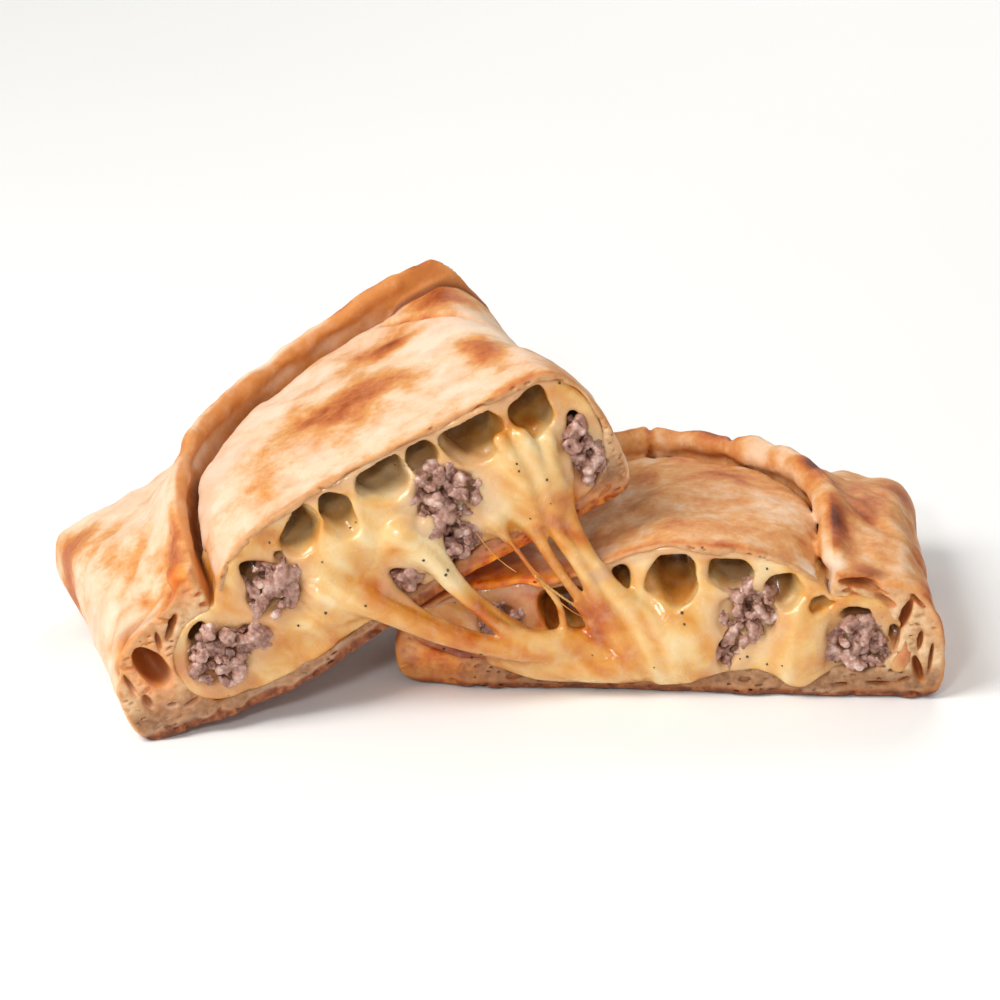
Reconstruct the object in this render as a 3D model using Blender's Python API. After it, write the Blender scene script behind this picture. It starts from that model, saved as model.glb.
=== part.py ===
"""A baked square empanada, cut across its middle and pulled open.

One half lies flat. The other leans on it, and the melted cheese of the two is still joined by ropes.
Each half is modelled in a frame of its own: x runs along the cut with the folded side strip at -x,
y runs from the cut face to the back of the parcel, and z is up. Lengths here are in millimetres.
"""

import math
import random

import bmesh
import bpy
from mathutils import Vector, noise

MM = 0.001
GAP = 0.4  # clearance between solids that touch

# Driving dimensions
HALF_DEPTH = 77.0  # cut face to back fold
SIDE_ROUND, BACK_ROUND = 10.0, 5.5  # how far the edge rounding reaches in from the outline
WALL_WIDTH = 2.4  # the step from the dome up to a folded strip
FOLD_END = 24.0  # past this x a fold runs straight along the back
BASE_CRUST = 6.5
FLAT_SPOT = 0.15  # where the base rounds up by less than this, it lies flat
ROOF_CRUST = 4.0
CHAMBER_STRIP_END, CHAMBER_BACK = 53.0, 63.0  # how far the filling reaches
CHAMBER_ROUND = 13.0
SEED = 7

# The half that leans, and the half that lies flat. The strips are the two folded edges, along the
# side and along the back, and fold_radius is the bend of the groove from one strip to the other.
LEANING = dict(
    sign=1, strip_end=61.8, strip_narrowing=0.0, smooth_end=65.3, smooth_narrowing=6.3,
    smooth_round=12.0, side_height=11.0, smooth_height=14.5,
    top_cut=38.5, top_back=34.2, ear=4.4, pressed=0.0,
    groove_x=-31.0, groove_drift=2.0, foot_y=71.0, fold_radius=60.0,
    press_cut=14.5, press_back=3.0, rise_cut=10.0, rise=6.6, fall_cut=11.0, fall_back=17.0,
    sag=6.2, chamber_smooth_end=60.0,
)
FLAT = dict(
    sign=-1, strip_end=64.4, strip_narrowing=5.0, smooth_end=62.0, smooth_narrowing=4.0,
    smooth_round=18.0, side_height=11.0, smooth_height=9.5,
    top_cut=38.5, top_back=31.5, ear=0.0, pressed=10.2,
    groove_x=-36.0, groove_drift=1.0, foot_y=71.0, fold_radius=50.0,
    press_cut=11.0, press_back=2.5, rise_cut=3.0, rise=6.5, fall_cut=3.0, fall_back=12.0,
    sag=0.0, chamber_smooth_end=56.5,
)

# Where each half stands, in the object's frame
LEAN_ROLL, LEAN_YAW = -21.9, 16.8  # degrees
FLAT_YAW = -3.5
LEAN_PLACE = Vector((-26.0, -8.4, 22.8))
FLAT_PLACE = Vector((37.6, 0.0, 0.0))
TO_CENTRE = Vector((1.8, -26.5, 0.0))  # brings the middle of the footprint to the origin

# Hollows under the roof crust, each (x, z, radius along x, radius along z), at the cut face
LEAN_HOLLOWS = [
    (49.2, 31.6, 5.4, 4.2), (36.6, 31.6, 6.0, 4.4), (22.5, 32.0, 5.2, 3.8),
    (11.5, 31.4, 4.5, 4.4), (0.5, 30.6, 4.3, 4.6), (-9.3, 30.8, 4.0, 3.7),
]
FLAT_HOLLOWS = [
    (-1.5, 32.2, 5.2, 3.6), (-14.0, 32.0, 4.6, 3.2), (10.5, 29.6, 3.0, 2.8),
    (-26.0, 29.4, 4.4, 3.0), (22.0, 19.4, 4.0, 4.2),
]

# Clusters of minced meat, each (x, z, radius along x, radius along z)
LEAN_MEAT = [
    (-38.5, 10.8, 7.2, 6.6), (-20.5, 20.0, 6.4, 5.6), (23.5, 17.4, 9.8, 7.4),
    (6.8, 10.5, 3.6, 5.0), (52.4, 16.2, 4.8, 6.6),
]
FLAT_MEAT = [(-42.5, 14.6, 6.8, 5.8), (-17.5, 16.8, 7.6, 5.2), (37.0, 16.6, 5.6, 4.8)]

# Bulges of cheese over the face of the cut, each (x, z, radius along x, radius along z)
LEAN_LOBES = [(42.0, 14.0, 5.0, 8.5), (-10.0, 6.0, 14.0, 5.0), (-3.5, 20.0, 8.0, 5.0)]
FLAT_LOBES = [(1.5, 11.5, 11.5, 9.0), (-30.0, 12.5, 4.4, 9.2), (22.0, 8.5, 10.0, 4.6)]

# Ropes of cheese pulled from half to half: points in the object's frame before centring, with radii
ROPES = {
    "main_rope": (
        [(8.5, 1.6, 52.0), (13.6, -5.0, 44.4), (18.0, -6.0, 36.6), (21.6, -6.2, 29.0), (26.0, -5.4, 19.5),
         (33.0, 1.0, 11.5)],
        (4.0, 2.9, 2.2, 2.4, 4.2, 5.2),
    ),
    "thin_rope": (
        [(12.5, 3.0, 50.5), (17.0, -4.0, 43.6), (21.4, -5.6, 37.2), (26.2, -5.8, 31.0), (29.4, -4.2, 23.5),
         (30.4, 0.6, 20.0)],
        (1.7, 1.2, 0.9, 0.9, 1.4, 1.6),
    ),
    "web_rope": (
        [(-1.5, -1.0, 43.0), (1.6, -7.6, 40.0), (5.0, -8.8, 35.8), (9.0, -7.6, 30.4), (13.4, -5.4, 22.9),
         (16.2, 0.6, 14.5)],
        (1.8, 1.1, 0.9, 1.0, 1.4, 2.2),
    ),
    "low_rope": (
        [(-19.5, -7.0, 42.0), (-15.5, -13.5, 35.5), (-10.0, -14.5, 30.2), (-3.5, -12.5, 25.0),
         (4.0, -9.0, 19.0), (13.0, -5.8, 14.8), (22.0, -3.4, 13.5), (28.0, 1.5, 13.0)],
        (3.0, 2.3, 1.7, 1.5, 1.7, 2.2, 2.8, 3.0),
    ),
    "bottom_band": (
        [(-42.0, -12.0, 34.0), (-34.0, -18.5, 29.2), (-24.0, -18.4, 25.0), (-14.0, -15.8, 20.6),
         (-3.0, -11.6, 15.4), (9.0, -7.4, 11.0), (20.0, -4.4, 10.2), (28.0, 1.5, 10.2)],
        (2.8, 2.8, 2.4, 2.4, 3.0, 3.4, 3.2, 3.0),
    ),
}

# Stations of the lofts. A crust's are dense where the folds and the back edge turn.
CRUST_DEPTHS = (
    0, 3, 8, 15, 23, 31, 39, 46, 52, 57, 61, 64.5, 67.5, 69.8, 71.0, 72.2, 73.6, 75.0, 76.1, 76.8,
)
CHAMBER_DEPTHS = (2, 8, 16, 25, 34, 42, 49, 54, 57.5, 60, 62)
ROUND_STEPS = (0.03, 0.16, 0.4, 0.7)  # over a rounded edge, as shares of its reach
NEAR_ENDS = (0.01, 0.03, 0.07)  # over a chamber's rounded ends, as shares of its width
FAR_ENDS = (0.92, 0.96, 0.985)

MEAT_DEPTH = 9.0  # how far a cluster reaches into the cheese
MEAT_BULGE = 1.9  # and how far its core stands out of the cut
SOCKET_FRONT = 6.5  # a socket is open well in front of the cheese
HOLLOW_DEPTH = 8.0
LOBE_BULGE = 3.2


def ease(t):
    """0 to 1 with flat ends."""
    t = min(1.0, max(0.0, t))
    return t * t * (3 - 2 * t)


def fold_distance(half, x, y):
    """Distance from the groove at the foot of the strips: negative on the dome, positive on a strip."""
    radius = half["fold_radius"]
    across = groove_line(half, y) + radius - x
    along = y - (half["foot_y"] - radius)
    return math.hypot(max(across, 0), max(along, 0)) + min(max(across, along), 0) - radius


def groove_line(half, y):
    """Where the side strip's groove would run if it went straight back; it drifts outwards at the cut."""
    return half["groove_x"] - half["groove_drift"] * math.exp(-y / 6)


def fold_line(half, y):
    """Where the groove crosses a depth y, round its bend from the side to the back."""
    radius = half["fold_radius"]
    bend = max(0.0, min(y, half["foot_y"]) - (half["foot_y"] - radius))
    return min(FOLD_END, groove_line(half, y) + radius - math.sqrt(radius**2 - bend**2))


def shoulder(y):
    """How wide the roof rounds down to the groove: widest at the cut."""
    return 5.5 + 3.5 * math.exp(-y / 14)


def ear(half, x, y):
    """The corner of the parcel that sticks up."""
    return half["ear"] * math.exp(-(((x - 48) / 27) ** 2) - ((y - 77) / 15) ** 2)


def dome(half, x, y):
    """Height of the roof before the folds press into it."""
    back = min(1.0, y / half["foot_y"])
    height = half["top_cut"] + (half["top_back"] - half["top_cut"]) * back**1.7 + ear(half, x, y)
    weight = ease((x + 2) / 32) + 0.4 * ease((x - 30) / 30)
    return height - half["pressed"] * weight * (1 - 0.45 * back**2)


def groove_depth(half, y):
    return half["press_cut"] + (half["press_back"] - half["press_cut"]) * ease(y / 55)


def roof(half, x, y):
    """Height of the top of the crust over the plan, before its edges round down."""
    fold = fold_distance(half, x, y)
    press = groove_depth(half, y)
    plain = dome(half, x, y)
    on_dome = plain - press * math.exp(-abs(fold) / shoulder(y))
    rise = half["rise"] + (half["rise_cut"] - half["rise"]) * math.exp(-y / 9)
    fall = half["fall_cut"] + (half["fall_back"] - half["fall_cut"]) * min(1.0, y / HALF_DEPTH)
    strip = plain - press + rise - fall * (1 - math.exp(-max(0.0, fold - 2) / 11))
    share = ease((fold + WALL_WIDTH / 2) / WALL_WIDTH)
    return on_dome * (1 - share) + strip * share


def side_ends(half, y):
    """Where the outline's two sides lie at a depth y."""
    back = y / HALF_DEPTH
    strip = -half["strip_end"] + half["strip_narrowing"] * back**0.8 + 1.2 * math.sin(math.pi * back)
    return strip, half["smooth_end"] - half["smooth_narrowing"] * ease((y - 6) / 48)


def smooth_round(half, y):
    """How far the rounding of the smooth side reaches in: widest halfway back, tight at the ear."""
    back = y / HALF_DEPTH
    return half["smooth_round"] + 3.5 * math.sin(math.pi * back) - 4 * back**3


def edge_share(half, x, y):
    """0 inside, rising to 1 at the outline in plan."""
    low, high = side_ends(half, y)
    reach = smooth_round(half, y)
    across = max(0.0, (SIDE_ROUND - (x - low)) / SIDE_ROUND, (reach - (high - x)) / reach)
    along = max(0.0, (BACK_ROUND - (HALF_DEPTH - y)) / BACK_ROUND)
    return math.hypot(across, along)


def edge_height(half, x, y):
    """Height of the widest line of the sides."""
    share = (x + 62) / 124
    return half["side_height"] * (1 - share) + half["smooth_height"] * share + 0.6 * ear(half, x, y)


def base_height(half, x):
    """The leaning half's base hangs down where nothing holds it up."""
    return -half["sag"] * math.exp(-(((x + 26) / 30) ** 2))


def crust_heights(half, x, y):
    """Bottom and top of the crust's outer shape at a point of the plan."""
    share = min(0.998, edge_share(half, x, y))
    middle = edge_height(half, x, y)
    base = base_height(half, x)
    ripple = 0.5 * noise.noise(Vector((x, y, 3.0)) / 11)
    top = middle + (roof(half, x, y) + ripple - middle) * math.sqrt(1 - share**2)
    rounding = (middle - base) * (1 - math.sqrt(1 - share**4))
    bottom = base if rounding < FLAT_SPOT else base + rounding
    return bottom, top


def between(low, high, count):
    """Evenly spaced values, with both ends."""
    return [low + (high - low) * i / (count - 1) for i in range(count)]


def crust_ring(half, y):
    """The crust's outer section at a depth y, as (x, z) points: over the top, then back below."""
    low, high = side_ends(half, y)
    reach = smooth_round(half, y)
    along = max(0.0, (BACK_ROUND - (HALF_DEPTH - y)) / BACK_ROUND)
    inset = 1 - math.sqrt(max(0.0, 1 - along**2))
    low, high = low + SIDE_ROUND * inset, high - reach * inset
    groove = fold_line(half, y)
    left = [low + SIDE_ROUND * s for s in ROUND_STEPS]
    strip = between(left[-1] + 3, groove - 5, 4)
    wall = [groove - 2.4, groove - WALL_WIDTH / 2, groove, groove + WALL_WIDTH / 2]
    right = [high - reach * s for s in reversed(ROUND_STEPS)]
    middle = between(groove + 5, right[0] - 4, 12)
    top_x = left + strip + wall + middle + right
    base_x = [high - reach * s for s in ROUND_STEPS[:3]] + between(high - 14, low + 9, 5)
    base_x += [low + SIDE_ROUND * s for s in reversed(ROUND_STEPS[:3])]
    top = [(x, crust_heights(half, x, y)[1]) for x in top_x]
    return top + [(x, crust_heights(half, x, y)[0]) for x in base_x]


def chamber_ring(half, y, inset):
    """The section of the filling's chamber at a depth y, drawn in by inset on every side."""
    along = max(0.0, (CHAMBER_ROUND - (CHAMBER_BACK - inset - y)) / CHAMBER_ROUND)
    narrow = 1 - math.sqrt(max(0.0, 1 - along**2))
    reach = half["smooth_round"]
    low = -CHAMBER_STRIP_END + inset + CHAMBER_ROUND * narrow
    high = half["chamber_smooth_end"] - inset - reach * narrow
    high -= 0.6 * half["smooth_narrowing"] * ease((y - 6) / 48)

    def point(x, on_top):
        share = max(0.0, (CHAMBER_ROUND - (x - low)) / CHAMBER_ROUND, (reach - (high - x)) / reach)
        fold = min(0.0, fold_distance(half, x, y))
        press = groove_depth(half, y) * math.exp(-abs(fold) / shoulder(y))
        lid = dome(half, x, y) - press - ROOF_CRUST - inset
        floor = BASE_CRUST + base_height(half, x) + inset
        middle = 0.5 * (lid + floor)
        half_height = 0.5 * (lid - floor) * math.sqrt((1 - share**2.4) * (1 - along**2.4))
        return x, middle + (half_height if on_top else -half_height)

    near = [low + (high - low) * s for s in NEAR_ENDS]
    far = [low + (high - low) * s for s in FAR_ENDS]
    groove = fold_line(half, y)
    top = near + [groove - 3, groove + 2, groove + 8] + between(groove + 19, 38, 4) + far
    base = far[::-1] + [25, 0, -20] + near[::-1]
    return [point(x, True) for x in top] + [point(x, False) for x in base]


def loft(name, sections, sign):
    """A closed mesh through sections of equal length, each (y, [(x, z), ...])."""
    mesh = bpy.data.meshes.new(name)
    shape = bmesh.new()
    rings = [[shape.verts.new((sign * x * MM, y * MM, z * MM)) for x, z in points] for y, points in sections]
    for near, far in zip(rings, rings[1:]):
        for i in range(len(near)):
            j = (i + 1) % len(near)
            shape.faces.new((near[i], near[j], far[j], far[i]))
    shape.faces.new(rings[0])
    shape.faces.new(list(reversed(rings[-1])))
    bmesh.ops.triangulate(shape, faces=[f for f in shape.faces if len(f.verts) > 4])
    bmesh.ops.recalc_face_normals(shape, faces=shape.faces)
    shape.to_mesh(mesh)
    shape.free()
    return bpy.data.objects.new(name, mesh)


def ball(name, place, radii, detail=2, flat_back=None, flat_front=1.0):
    """An ellipsoid from an icosphere: cut off flat behind y = flat_back, or its front squashed."""
    mesh = bpy.data.meshes.new(name)
    shape = bmesh.new()
    bmesh.ops.create_icosphere(shape, subdivisions=detail, radius=1.0)
    for vert in shape.verts:
        vert.co = Vector(a * b for a, b in zip(vert.co, radii))
        if vert.co.y < 0:
            vert.co.y *= flat_front
        vert.co += place
        if flat_back is not None:
            vert.co.y = min(vert.co.y, flat_back)
        vert.co *= MM
    shape.to_mesh(mesh)
    shape.free()
    return bpy.data.objects.new(name, mesh)


def rope(name, points, radii):
    """A tapering strand as a curve, turned into a closed mesh so that it can be joined."""
    curve = bpy.data.curves.new(name, "CURVE")
    curve.dimensions = "3D"
    curve.bevel_depth = MM
    curve.bevel_resolution = 1
    curve.use_fill_caps = True
    curve.resolution_u = 2
    spline = curve.splines.new("NURBS")
    spline.points.add(len(points) - 1)
    for point, place, radius in zip(spline.points, points, radii):
        point.co = (*(Vector(place) * MM), 1)
        point.radius = radius
    spline.order_u = 4
    spline.use_endpoint_u = True
    guide = bpy.data.objects.new(name + "_line", curve)
    bpy.context.scene.collection.objects.link(guide)
    graph = bpy.context.evaluated_depsgraph_get()
    mesh = bpy.data.meshes.new_from_object(guide.evaluated_get(graph))
    shape = bmesh.new()
    shape.from_mesh(mesh)
    bmesh.ops.remove_doubles(shape, verts=shape.verts, dist=0.01 * MM)
    bmesh.ops.recalc_face_normals(shape, faces=shape.faces)
    shape.to_mesh(mesh)
    shape.free()
    bpy.data.objects.remove(guide)
    return bpy.data.objects.new(name, mesh)


def simple_material(name, colour, roughness):
    material = bpy.data.materials.new(name)
    material.use_nodes = True
    shader = material.node_tree.nodes["Principled BSDF"]
    shader.inputs["Base Color"].default_value = (*colour, 1)
    shader.inputs["Roughness"].default_value = roughness
    return material


def new_collection(name, hidden=False):
    collection = bpy.data.collections.new(name)
    bpy.context.scene.collection.children.link(collection)
    collection.hide_render = hidden
    return collection


def put(obj, collection, parent, helper=False):
    """Links an object and hangs it on its half."""
    collection.objects.link(obj)
    obj.parent = parent
    if helper:
        obj.hide_render = True
        obj.display_type = "WIRE"
    return obj


def add_boolean(obj, operation, collection=None, other=None, solver="EXACT"):
    """Adds a Boolean with one other object or with all of a collection's."""
    cut = obj.modifiers.new(operation.title(), "BOOLEAN")
    cut.operation = operation
    cut.solver = solver
    if collection:
        cut.operand_type = "COLLECTION"
        cut.collection = collection
    else:
        cut.object = other


def bake(obj):
    """Applies an object's modifiers, keeping its place."""
    bpy.context.view_layer.update()
    graph = bpy.context.evaluated_depsgraph_get()
    mesh = bpy.data.meshes.new_from_object(obj.evaluated_get(graph))
    obj.modifiers.clear()
    obj.data = mesh


def drop_scraps(obj):
    """Keeps only the largest connected piece of a mesh."""
    shape = bmesh.new()
    shape.from_mesh(obj.data)
    left, pieces = set(shape.verts), []
    while left:
        piece, queue = set(), [left.pop()]
        while queue:
            vert = queue.pop()
            piece.add(vert)
            for edge in vert.link_edges:
                other = edge.other_vert(vert)
                if other in left:
                    left.remove(other)
                    queue.append(other)
        pieces.append(piece)
    largest = max(pieces, key=len)
    bmesh.ops.delete(shape, geom=[v for v in shape.verts if v not in largest], context="VERTS")
    shape.to_mesh(obj.data)
    shape.free()


def finish_mesh(obj, material, angle=40):
    """Gives a mesh its material and smooth shading, with edges sharper than the angle kept."""
    obj.data.materials.clear()
    obj.data.materials.append(material)
    obj.data.shade_smooth()
    obj.data.set_sharp_from_angle(angle=math.radians(angle))


def make_crust(name, half, frame, parts, cutters, material):
    """The outer shape with the filling's chamber cut out of it."""
    crust = put(loft(name, [(y, crust_ring(half, y)) for y in CRUST_DEPTHS], half["sign"]), parts, frame)
    depths = (-6.0,) + CHAMBER_DEPTHS
    sections = [(y, chamber_ring(half, max(0.0, y), 0.0)) for y in depths]
    chamber = put(loft(name + "_chamber", sections, half["sign"]), cutters, frame, helper=True)
    add_boolean(crust, "DIFFERENCE", other=chamber)
    bake(crust)
    finish_mesh(crust, material)


def filling_loft(name, half):
    """The cheese that fills a chamber, with a rounded face at the cut."""
    sections = [(-1.5, chamber_ring(half, 0.0, GAP + 1.7)), (-0.7, chamber_ring(half, 0.0, GAP + 0.8))]
    depths = (*CHAMBER_DEPTHS[:-1], CHAMBER_DEPTHS[-1] - 1)
    sections += [(y, chamber_ring(half, y, GAP + 0.6 * ease((y - 35) / 20))) for y in depths]
    return loft(name, sections, half["sign"])


def meat_core(name, cluster, sign, bulge, grow=0.0):
    """The bare core of one cluster of mince."""
    x, z, radius_x, radius_z = cluster
    radii = (radius_x + grow, MEAT_DEPTH + grow, radius_z + grow)
    return ball(name, Vector((sign * x, 0, z)), radii, flat_front=bulge / radii[1])


def meat_crumbs(name, cluster, rng, sign):
    """The crumbs that show on the front of a core, spread evenly by the golden angle."""
    x, z, radius_x, radius_z = cluster
    count = round(0.26 * radius_x * radius_z)
    crumbs = []
    for i in range(count):
        turn = i * math.pi * (3 - math.sqrt(5))
        reach = math.sqrt((i + 0.5) / count)
        size = rng.uniform(1.5, 2.2)
        across = (radius_x - size - 0.4) * reach * math.cos(turn)
        up = (radius_z - size - 0.4) * reach * math.sin(turn)
        place = Vector((sign * (x + across), -MEAT_BULGE + 1.5 * reach**2, z + up))
        crumbs.append(ball(f"{name}_{i}", place, (size, size, size * 0.85), detail=1))
    return crumbs


def make_meat(prefix, clusters, half, frame, parts, sockets, material):
    """One node for each cluster, and a slightly larger core that cuts its socket in the cheese."""
    for number, cluster in enumerate(clusters, 1):
        name = f"{prefix}_meat_{number}"
        solid = put(meat_core(name, cluster, half["sign"], MEAT_BULGE), parts, frame)
        crumbs = meat_crumbs(name + "_crumb", cluster, random.Random(SEED + number), half["sign"])
        fuse(solid, crumbs, frame)
        finish_mesh(solid, material, 60)
        socket = meat_core(name + "_socket", cluster, half["sign"], SOCKET_FRONT, GAP)
        put(socket, sockets, frame, helper=True)


def fuse(solid, others, frame):
    """Joins other solids to one by a Boolean union, and removes them."""
    group = new_collection(solid.name + "_joined")
    for other in others:
        put(other, group, frame, helper=True)
    add_boolean(solid, "UNION", collection=group)
    bake(solid)
    drop_scraps(solid)
    for other in others:
        bpy.data.objects.remove(other)
    bpy.data.collections.remove(group)


def add_lobes(prefix, lobes, half, frame, joined):
    """Bulges of cheese that hang over the face of the cut."""
    for number, (x, z, radius_x, radius_z) in enumerate(lobes, 1):
        place = Vector((half["sign"] * x, -GAP, z))
        lobe = ball(f"{prefix}_lobe_{number}", place, (radius_x, LOBE_BULGE, radius_z), flat_back=-GAP)
        put(lobe, joined, frame, helper=True)


def add_hollows(prefix, hollows, half, frame, cutters):
    """Hollows in the cheese, open at the cut and up to the roof."""
    for number, (x, z, radius_x, radius_z) in enumerate(hollows, 1):
        place = Vector((half["sign"] * x, 1.0, z))
        hollow = ball(f"{prefix}_hollow_{number}", place, (radius_x, HOLLOW_DEPTH, radius_z))
        put(hollow, cutters, frame, helper=True)


def standing_frame(name, root, place, roll, yaw):
    """An empty that holds one half where it stands."""
    frame = bpy.data.objects.new(name, None)
    bpy.context.scene.collection.objects.link(frame)
    frame.parent = root
    frame.location = place * MM
    frame.rotation_euler = (0, math.radians(roll), math.radians(yaw))
    return frame


def main():
    """Builds both crusts, the mince and the cheese."""
    for obj in list(bpy.data.objects):
        bpy.data.objects.remove(obj)
    parts = new_collection("empanada")
    cutters = new_collection("cutters", hidden=True)
    joined = new_collection("cheese_joined", hidden=True)
    taken = new_collection("cheese_taken", hidden=True)

    baked_dough = simple_material("baked_dough", (0.72, 0.45, 0.22), 0.55)
    cheese_yellow = simple_material("melted_cheese", (0.86, 0.62, 0.25), 0.3)
    minced_beef = simple_material("minced_beef", (0.24, 0.15, 0.13), 0.45)

    root = bpy.data.objects.new("empanada_root", None)
    bpy.context.scene.collection.objects.link(root)
    root.location = TO_CENTRE * MM
    lean_frame = standing_frame("leaning_half", root, LEAN_PLACE, LEAN_ROLL, LEAN_YAW)
    flat_frame = standing_frame("flat_half", root, FLAT_PLACE, 0.0, FLAT_YAW)

    make_crust("leaning_crust", LEANING, lean_frame, parts, cutters, baked_dough)
    make_crust("flat_crust", FLAT, flat_frame, parts, cutters, baked_dough)

    make_meat("leaning", LEAN_MEAT, LEANING, lean_frame, parts, taken, minced_beef)
    make_meat("flat", FLAT_MEAT, FLAT, flat_frame, parts, taken, minced_beef)

    put(filling_loft("flat_filling", FLAT), joined, flat_frame, helper=True)
    add_lobes("leaning", LEAN_LOBES, LEANING, lean_frame, joined)
    add_lobes("flat", FLAT_LOBES, FLAT, flat_frame, joined)
    for name, (points, radii) in ROPES.items():
        put(rope(name, points, radii), joined, root, helper=True)
    add_hollows("leaning", LEAN_HOLLOWS, LEANING, lean_frame, taken)
    add_hollows("flat", FLAT_HOLLOWS, FLAT, flat_frame, taken)

    cheese = put(filling_loft("melted_cheese", LEANING), parts, lean_frame)
    add_boolean(cheese, "UNION", collection=joined, solver="MANIFOLD")
    add_boolean(cheese, "DIFFERENCE", collection=taken, solver="MANIFOLD")
    bake(cheese)
    drop_scraps(cheese)
    finish_mesh(cheese, cheese_yellow)


main()
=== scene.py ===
# %% [markdown]
# # A baked empanada, cut in two and pulled open
#
# One half lies flat and the other leans on it. This lesson dresses the plain CAD solids with real
# surfaces: baked dough with folds, blisters and open crumb, melted cheese with hollows and ropes,
# and loose crumbs of minced beef.
#
# The dough and the cheese are made as *distance fields*. Each form is written as a number for every
# point of a grid, negative inside and positive outside. Forms can then be joined, cut and blended
# smoothly, and one routine turns the finished field into a mesh.

# %% Load the frame
import math

import bpy
import numpy as np
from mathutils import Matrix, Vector


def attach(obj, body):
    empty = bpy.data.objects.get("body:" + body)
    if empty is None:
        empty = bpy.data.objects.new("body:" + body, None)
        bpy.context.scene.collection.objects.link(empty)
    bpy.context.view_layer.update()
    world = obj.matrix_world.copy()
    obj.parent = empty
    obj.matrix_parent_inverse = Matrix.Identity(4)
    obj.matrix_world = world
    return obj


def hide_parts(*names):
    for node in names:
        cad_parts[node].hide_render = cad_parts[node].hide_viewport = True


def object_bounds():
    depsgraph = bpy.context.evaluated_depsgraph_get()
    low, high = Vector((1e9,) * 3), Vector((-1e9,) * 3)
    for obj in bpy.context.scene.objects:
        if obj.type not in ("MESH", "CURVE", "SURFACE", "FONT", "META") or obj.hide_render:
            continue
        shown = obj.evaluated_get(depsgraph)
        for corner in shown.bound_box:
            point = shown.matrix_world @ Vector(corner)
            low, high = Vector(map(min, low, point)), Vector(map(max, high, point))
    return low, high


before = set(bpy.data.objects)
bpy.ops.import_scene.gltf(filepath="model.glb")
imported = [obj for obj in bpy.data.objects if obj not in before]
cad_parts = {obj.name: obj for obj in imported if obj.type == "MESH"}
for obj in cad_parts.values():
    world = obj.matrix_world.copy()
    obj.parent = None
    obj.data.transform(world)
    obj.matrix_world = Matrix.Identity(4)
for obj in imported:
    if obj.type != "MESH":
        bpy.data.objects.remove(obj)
cad_bounds = [list(corner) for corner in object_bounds()]
scene = bpy.context.scene
print("nodes:", ", ".join(sorted(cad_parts)))

# %% [markdown]
# ## Sizes
#
# All lengths are millimetres. Each half has a frame of its own: x runs along the cut with the folded
# side strip at -x, y runs from the cut face to the back, and z is up. The same formulas then make
# both halves from two sets of sizes, and a turn and a shift lay each where it belongs.

# %% Sizes of the two halves
HALF_DEPTH = 77.0
SIDE_ROUND, BACK_ROUND = 10.0, 5.5
WALL_WIDTH = 2.4
ROOF_CRUST = 2.5  # at the cut, where the crumb has been pressed thin
CHAMBER_BACK, CHAMBER_ROUND = 63.0, 11.0

LEANING = dict(
    strip_end=61.8, strip_narrowing=0.0, smooth_end=65.3, smooth_narrowing=6.3,
    smooth_round=12.0, side_height=11.0, smooth_height=14.5,
    top_cut=38.5, top_back=34.2, ear=4.4, pressed=0.0, base_crust=5.2,
    groove_x=-31.0, groove_drift=2.0, foot_y=71.0, fold_radius=60.0,
    press_cut=14.5, press_back=3.0, rise_cut=10.0, rise=6.6, fall_cut=11.0, fall_back=17.0,
    sag=6.2, chamber_strip_end=46.5, chamber_smooth_end=61.8,
)
FLAT = dict(
    strip_end=64.4, strip_narrowing=5.0, smooth_end=62.0, smooth_narrowing=4.0,
    smooth_round=18.0, side_height=11.0, smooth_height=9.5,
    top_cut=38.5, top_back=31.5, ear=0.0, pressed=10.2, base_crust=7.6,
    groove_x=-36.0, groove_drift=1.0, foot_y=71.0, fold_radius=50.0,
    press_cut=11.0, press_back=2.5, rise_cut=3.0, rise=6.5, fall_cut=3.0, fall_back=12.0,
    sag=0.0, chamber_strip_end=52.5, chamber_smooth_end=57.5,
)

TO_CENTRE = np.array([1.8, -26.5, 0.0])


def place(roll, yaw, offset, mirrored):
    """A half's pose: the matrix that turns its own points into the object's, and the offset."""
    r, y = math.radians(roll), math.radians(yaw)
    about_y = np.array([[math.cos(r), 0, math.sin(r)], [0, 1, 0], [-math.sin(r), 0, math.cos(r)]])
    about_z = np.array([[math.cos(y), -math.sin(y), 0], [math.sin(y), math.cos(y), 0], [0, 0, 1]])
    flip = np.diag([-1.0 if mirrored else 1.0, 1.0, 1.0])
    return about_z @ about_y @ flip, np.array(offset) + TO_CENTRE


LEAN_POSE = place(-21.9, 16.8, (-26.0, -8.4, 22.8), False)
FLAT_POSE = place(0.0, -3.5, (37.6, 0.0, 0.0), True)


def to_object(pose, points):
    return np.asarray(points) @ pose[0].T + pose[1]


def to_half(pose, points):
    """The coordinates x, y and z of the object's points in a half's own frame."""
    return ((points - pose[1]) @ pose[0]).T


print("each half is", HALF_DEPTH, "mm deep, and", LEANING["top_cut"], "mm high at the cut")


# %% [markdown]
# ## Smooth noise
#
# Nothing baked is even, so every form gets some noise. Blender's own noise textures only work inside
# nodes, and the fields are arrays, so the noise is made here. Random numbers sit on a coarse lattice,
# and cubic B-spline weights blend them. On a grid of straight lines the blend is done one axis at a
# time, so a field of millions of points costs next to nothing.

# %% Noise
LATTICE_LOW, LATTICE_HIGH = np.array([-120.0, -70.0, -25.0]), np.array([120.0, 95.0, 95.0])


def lattice(seed, size):
    count = np.ceil((LATTICE_HIGH - LATTICE_LOW) / size).astype(int) + 5
    return np.random.default_rng(seed).standard_normal(count, dtype=np.float32) / 0.335


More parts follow.
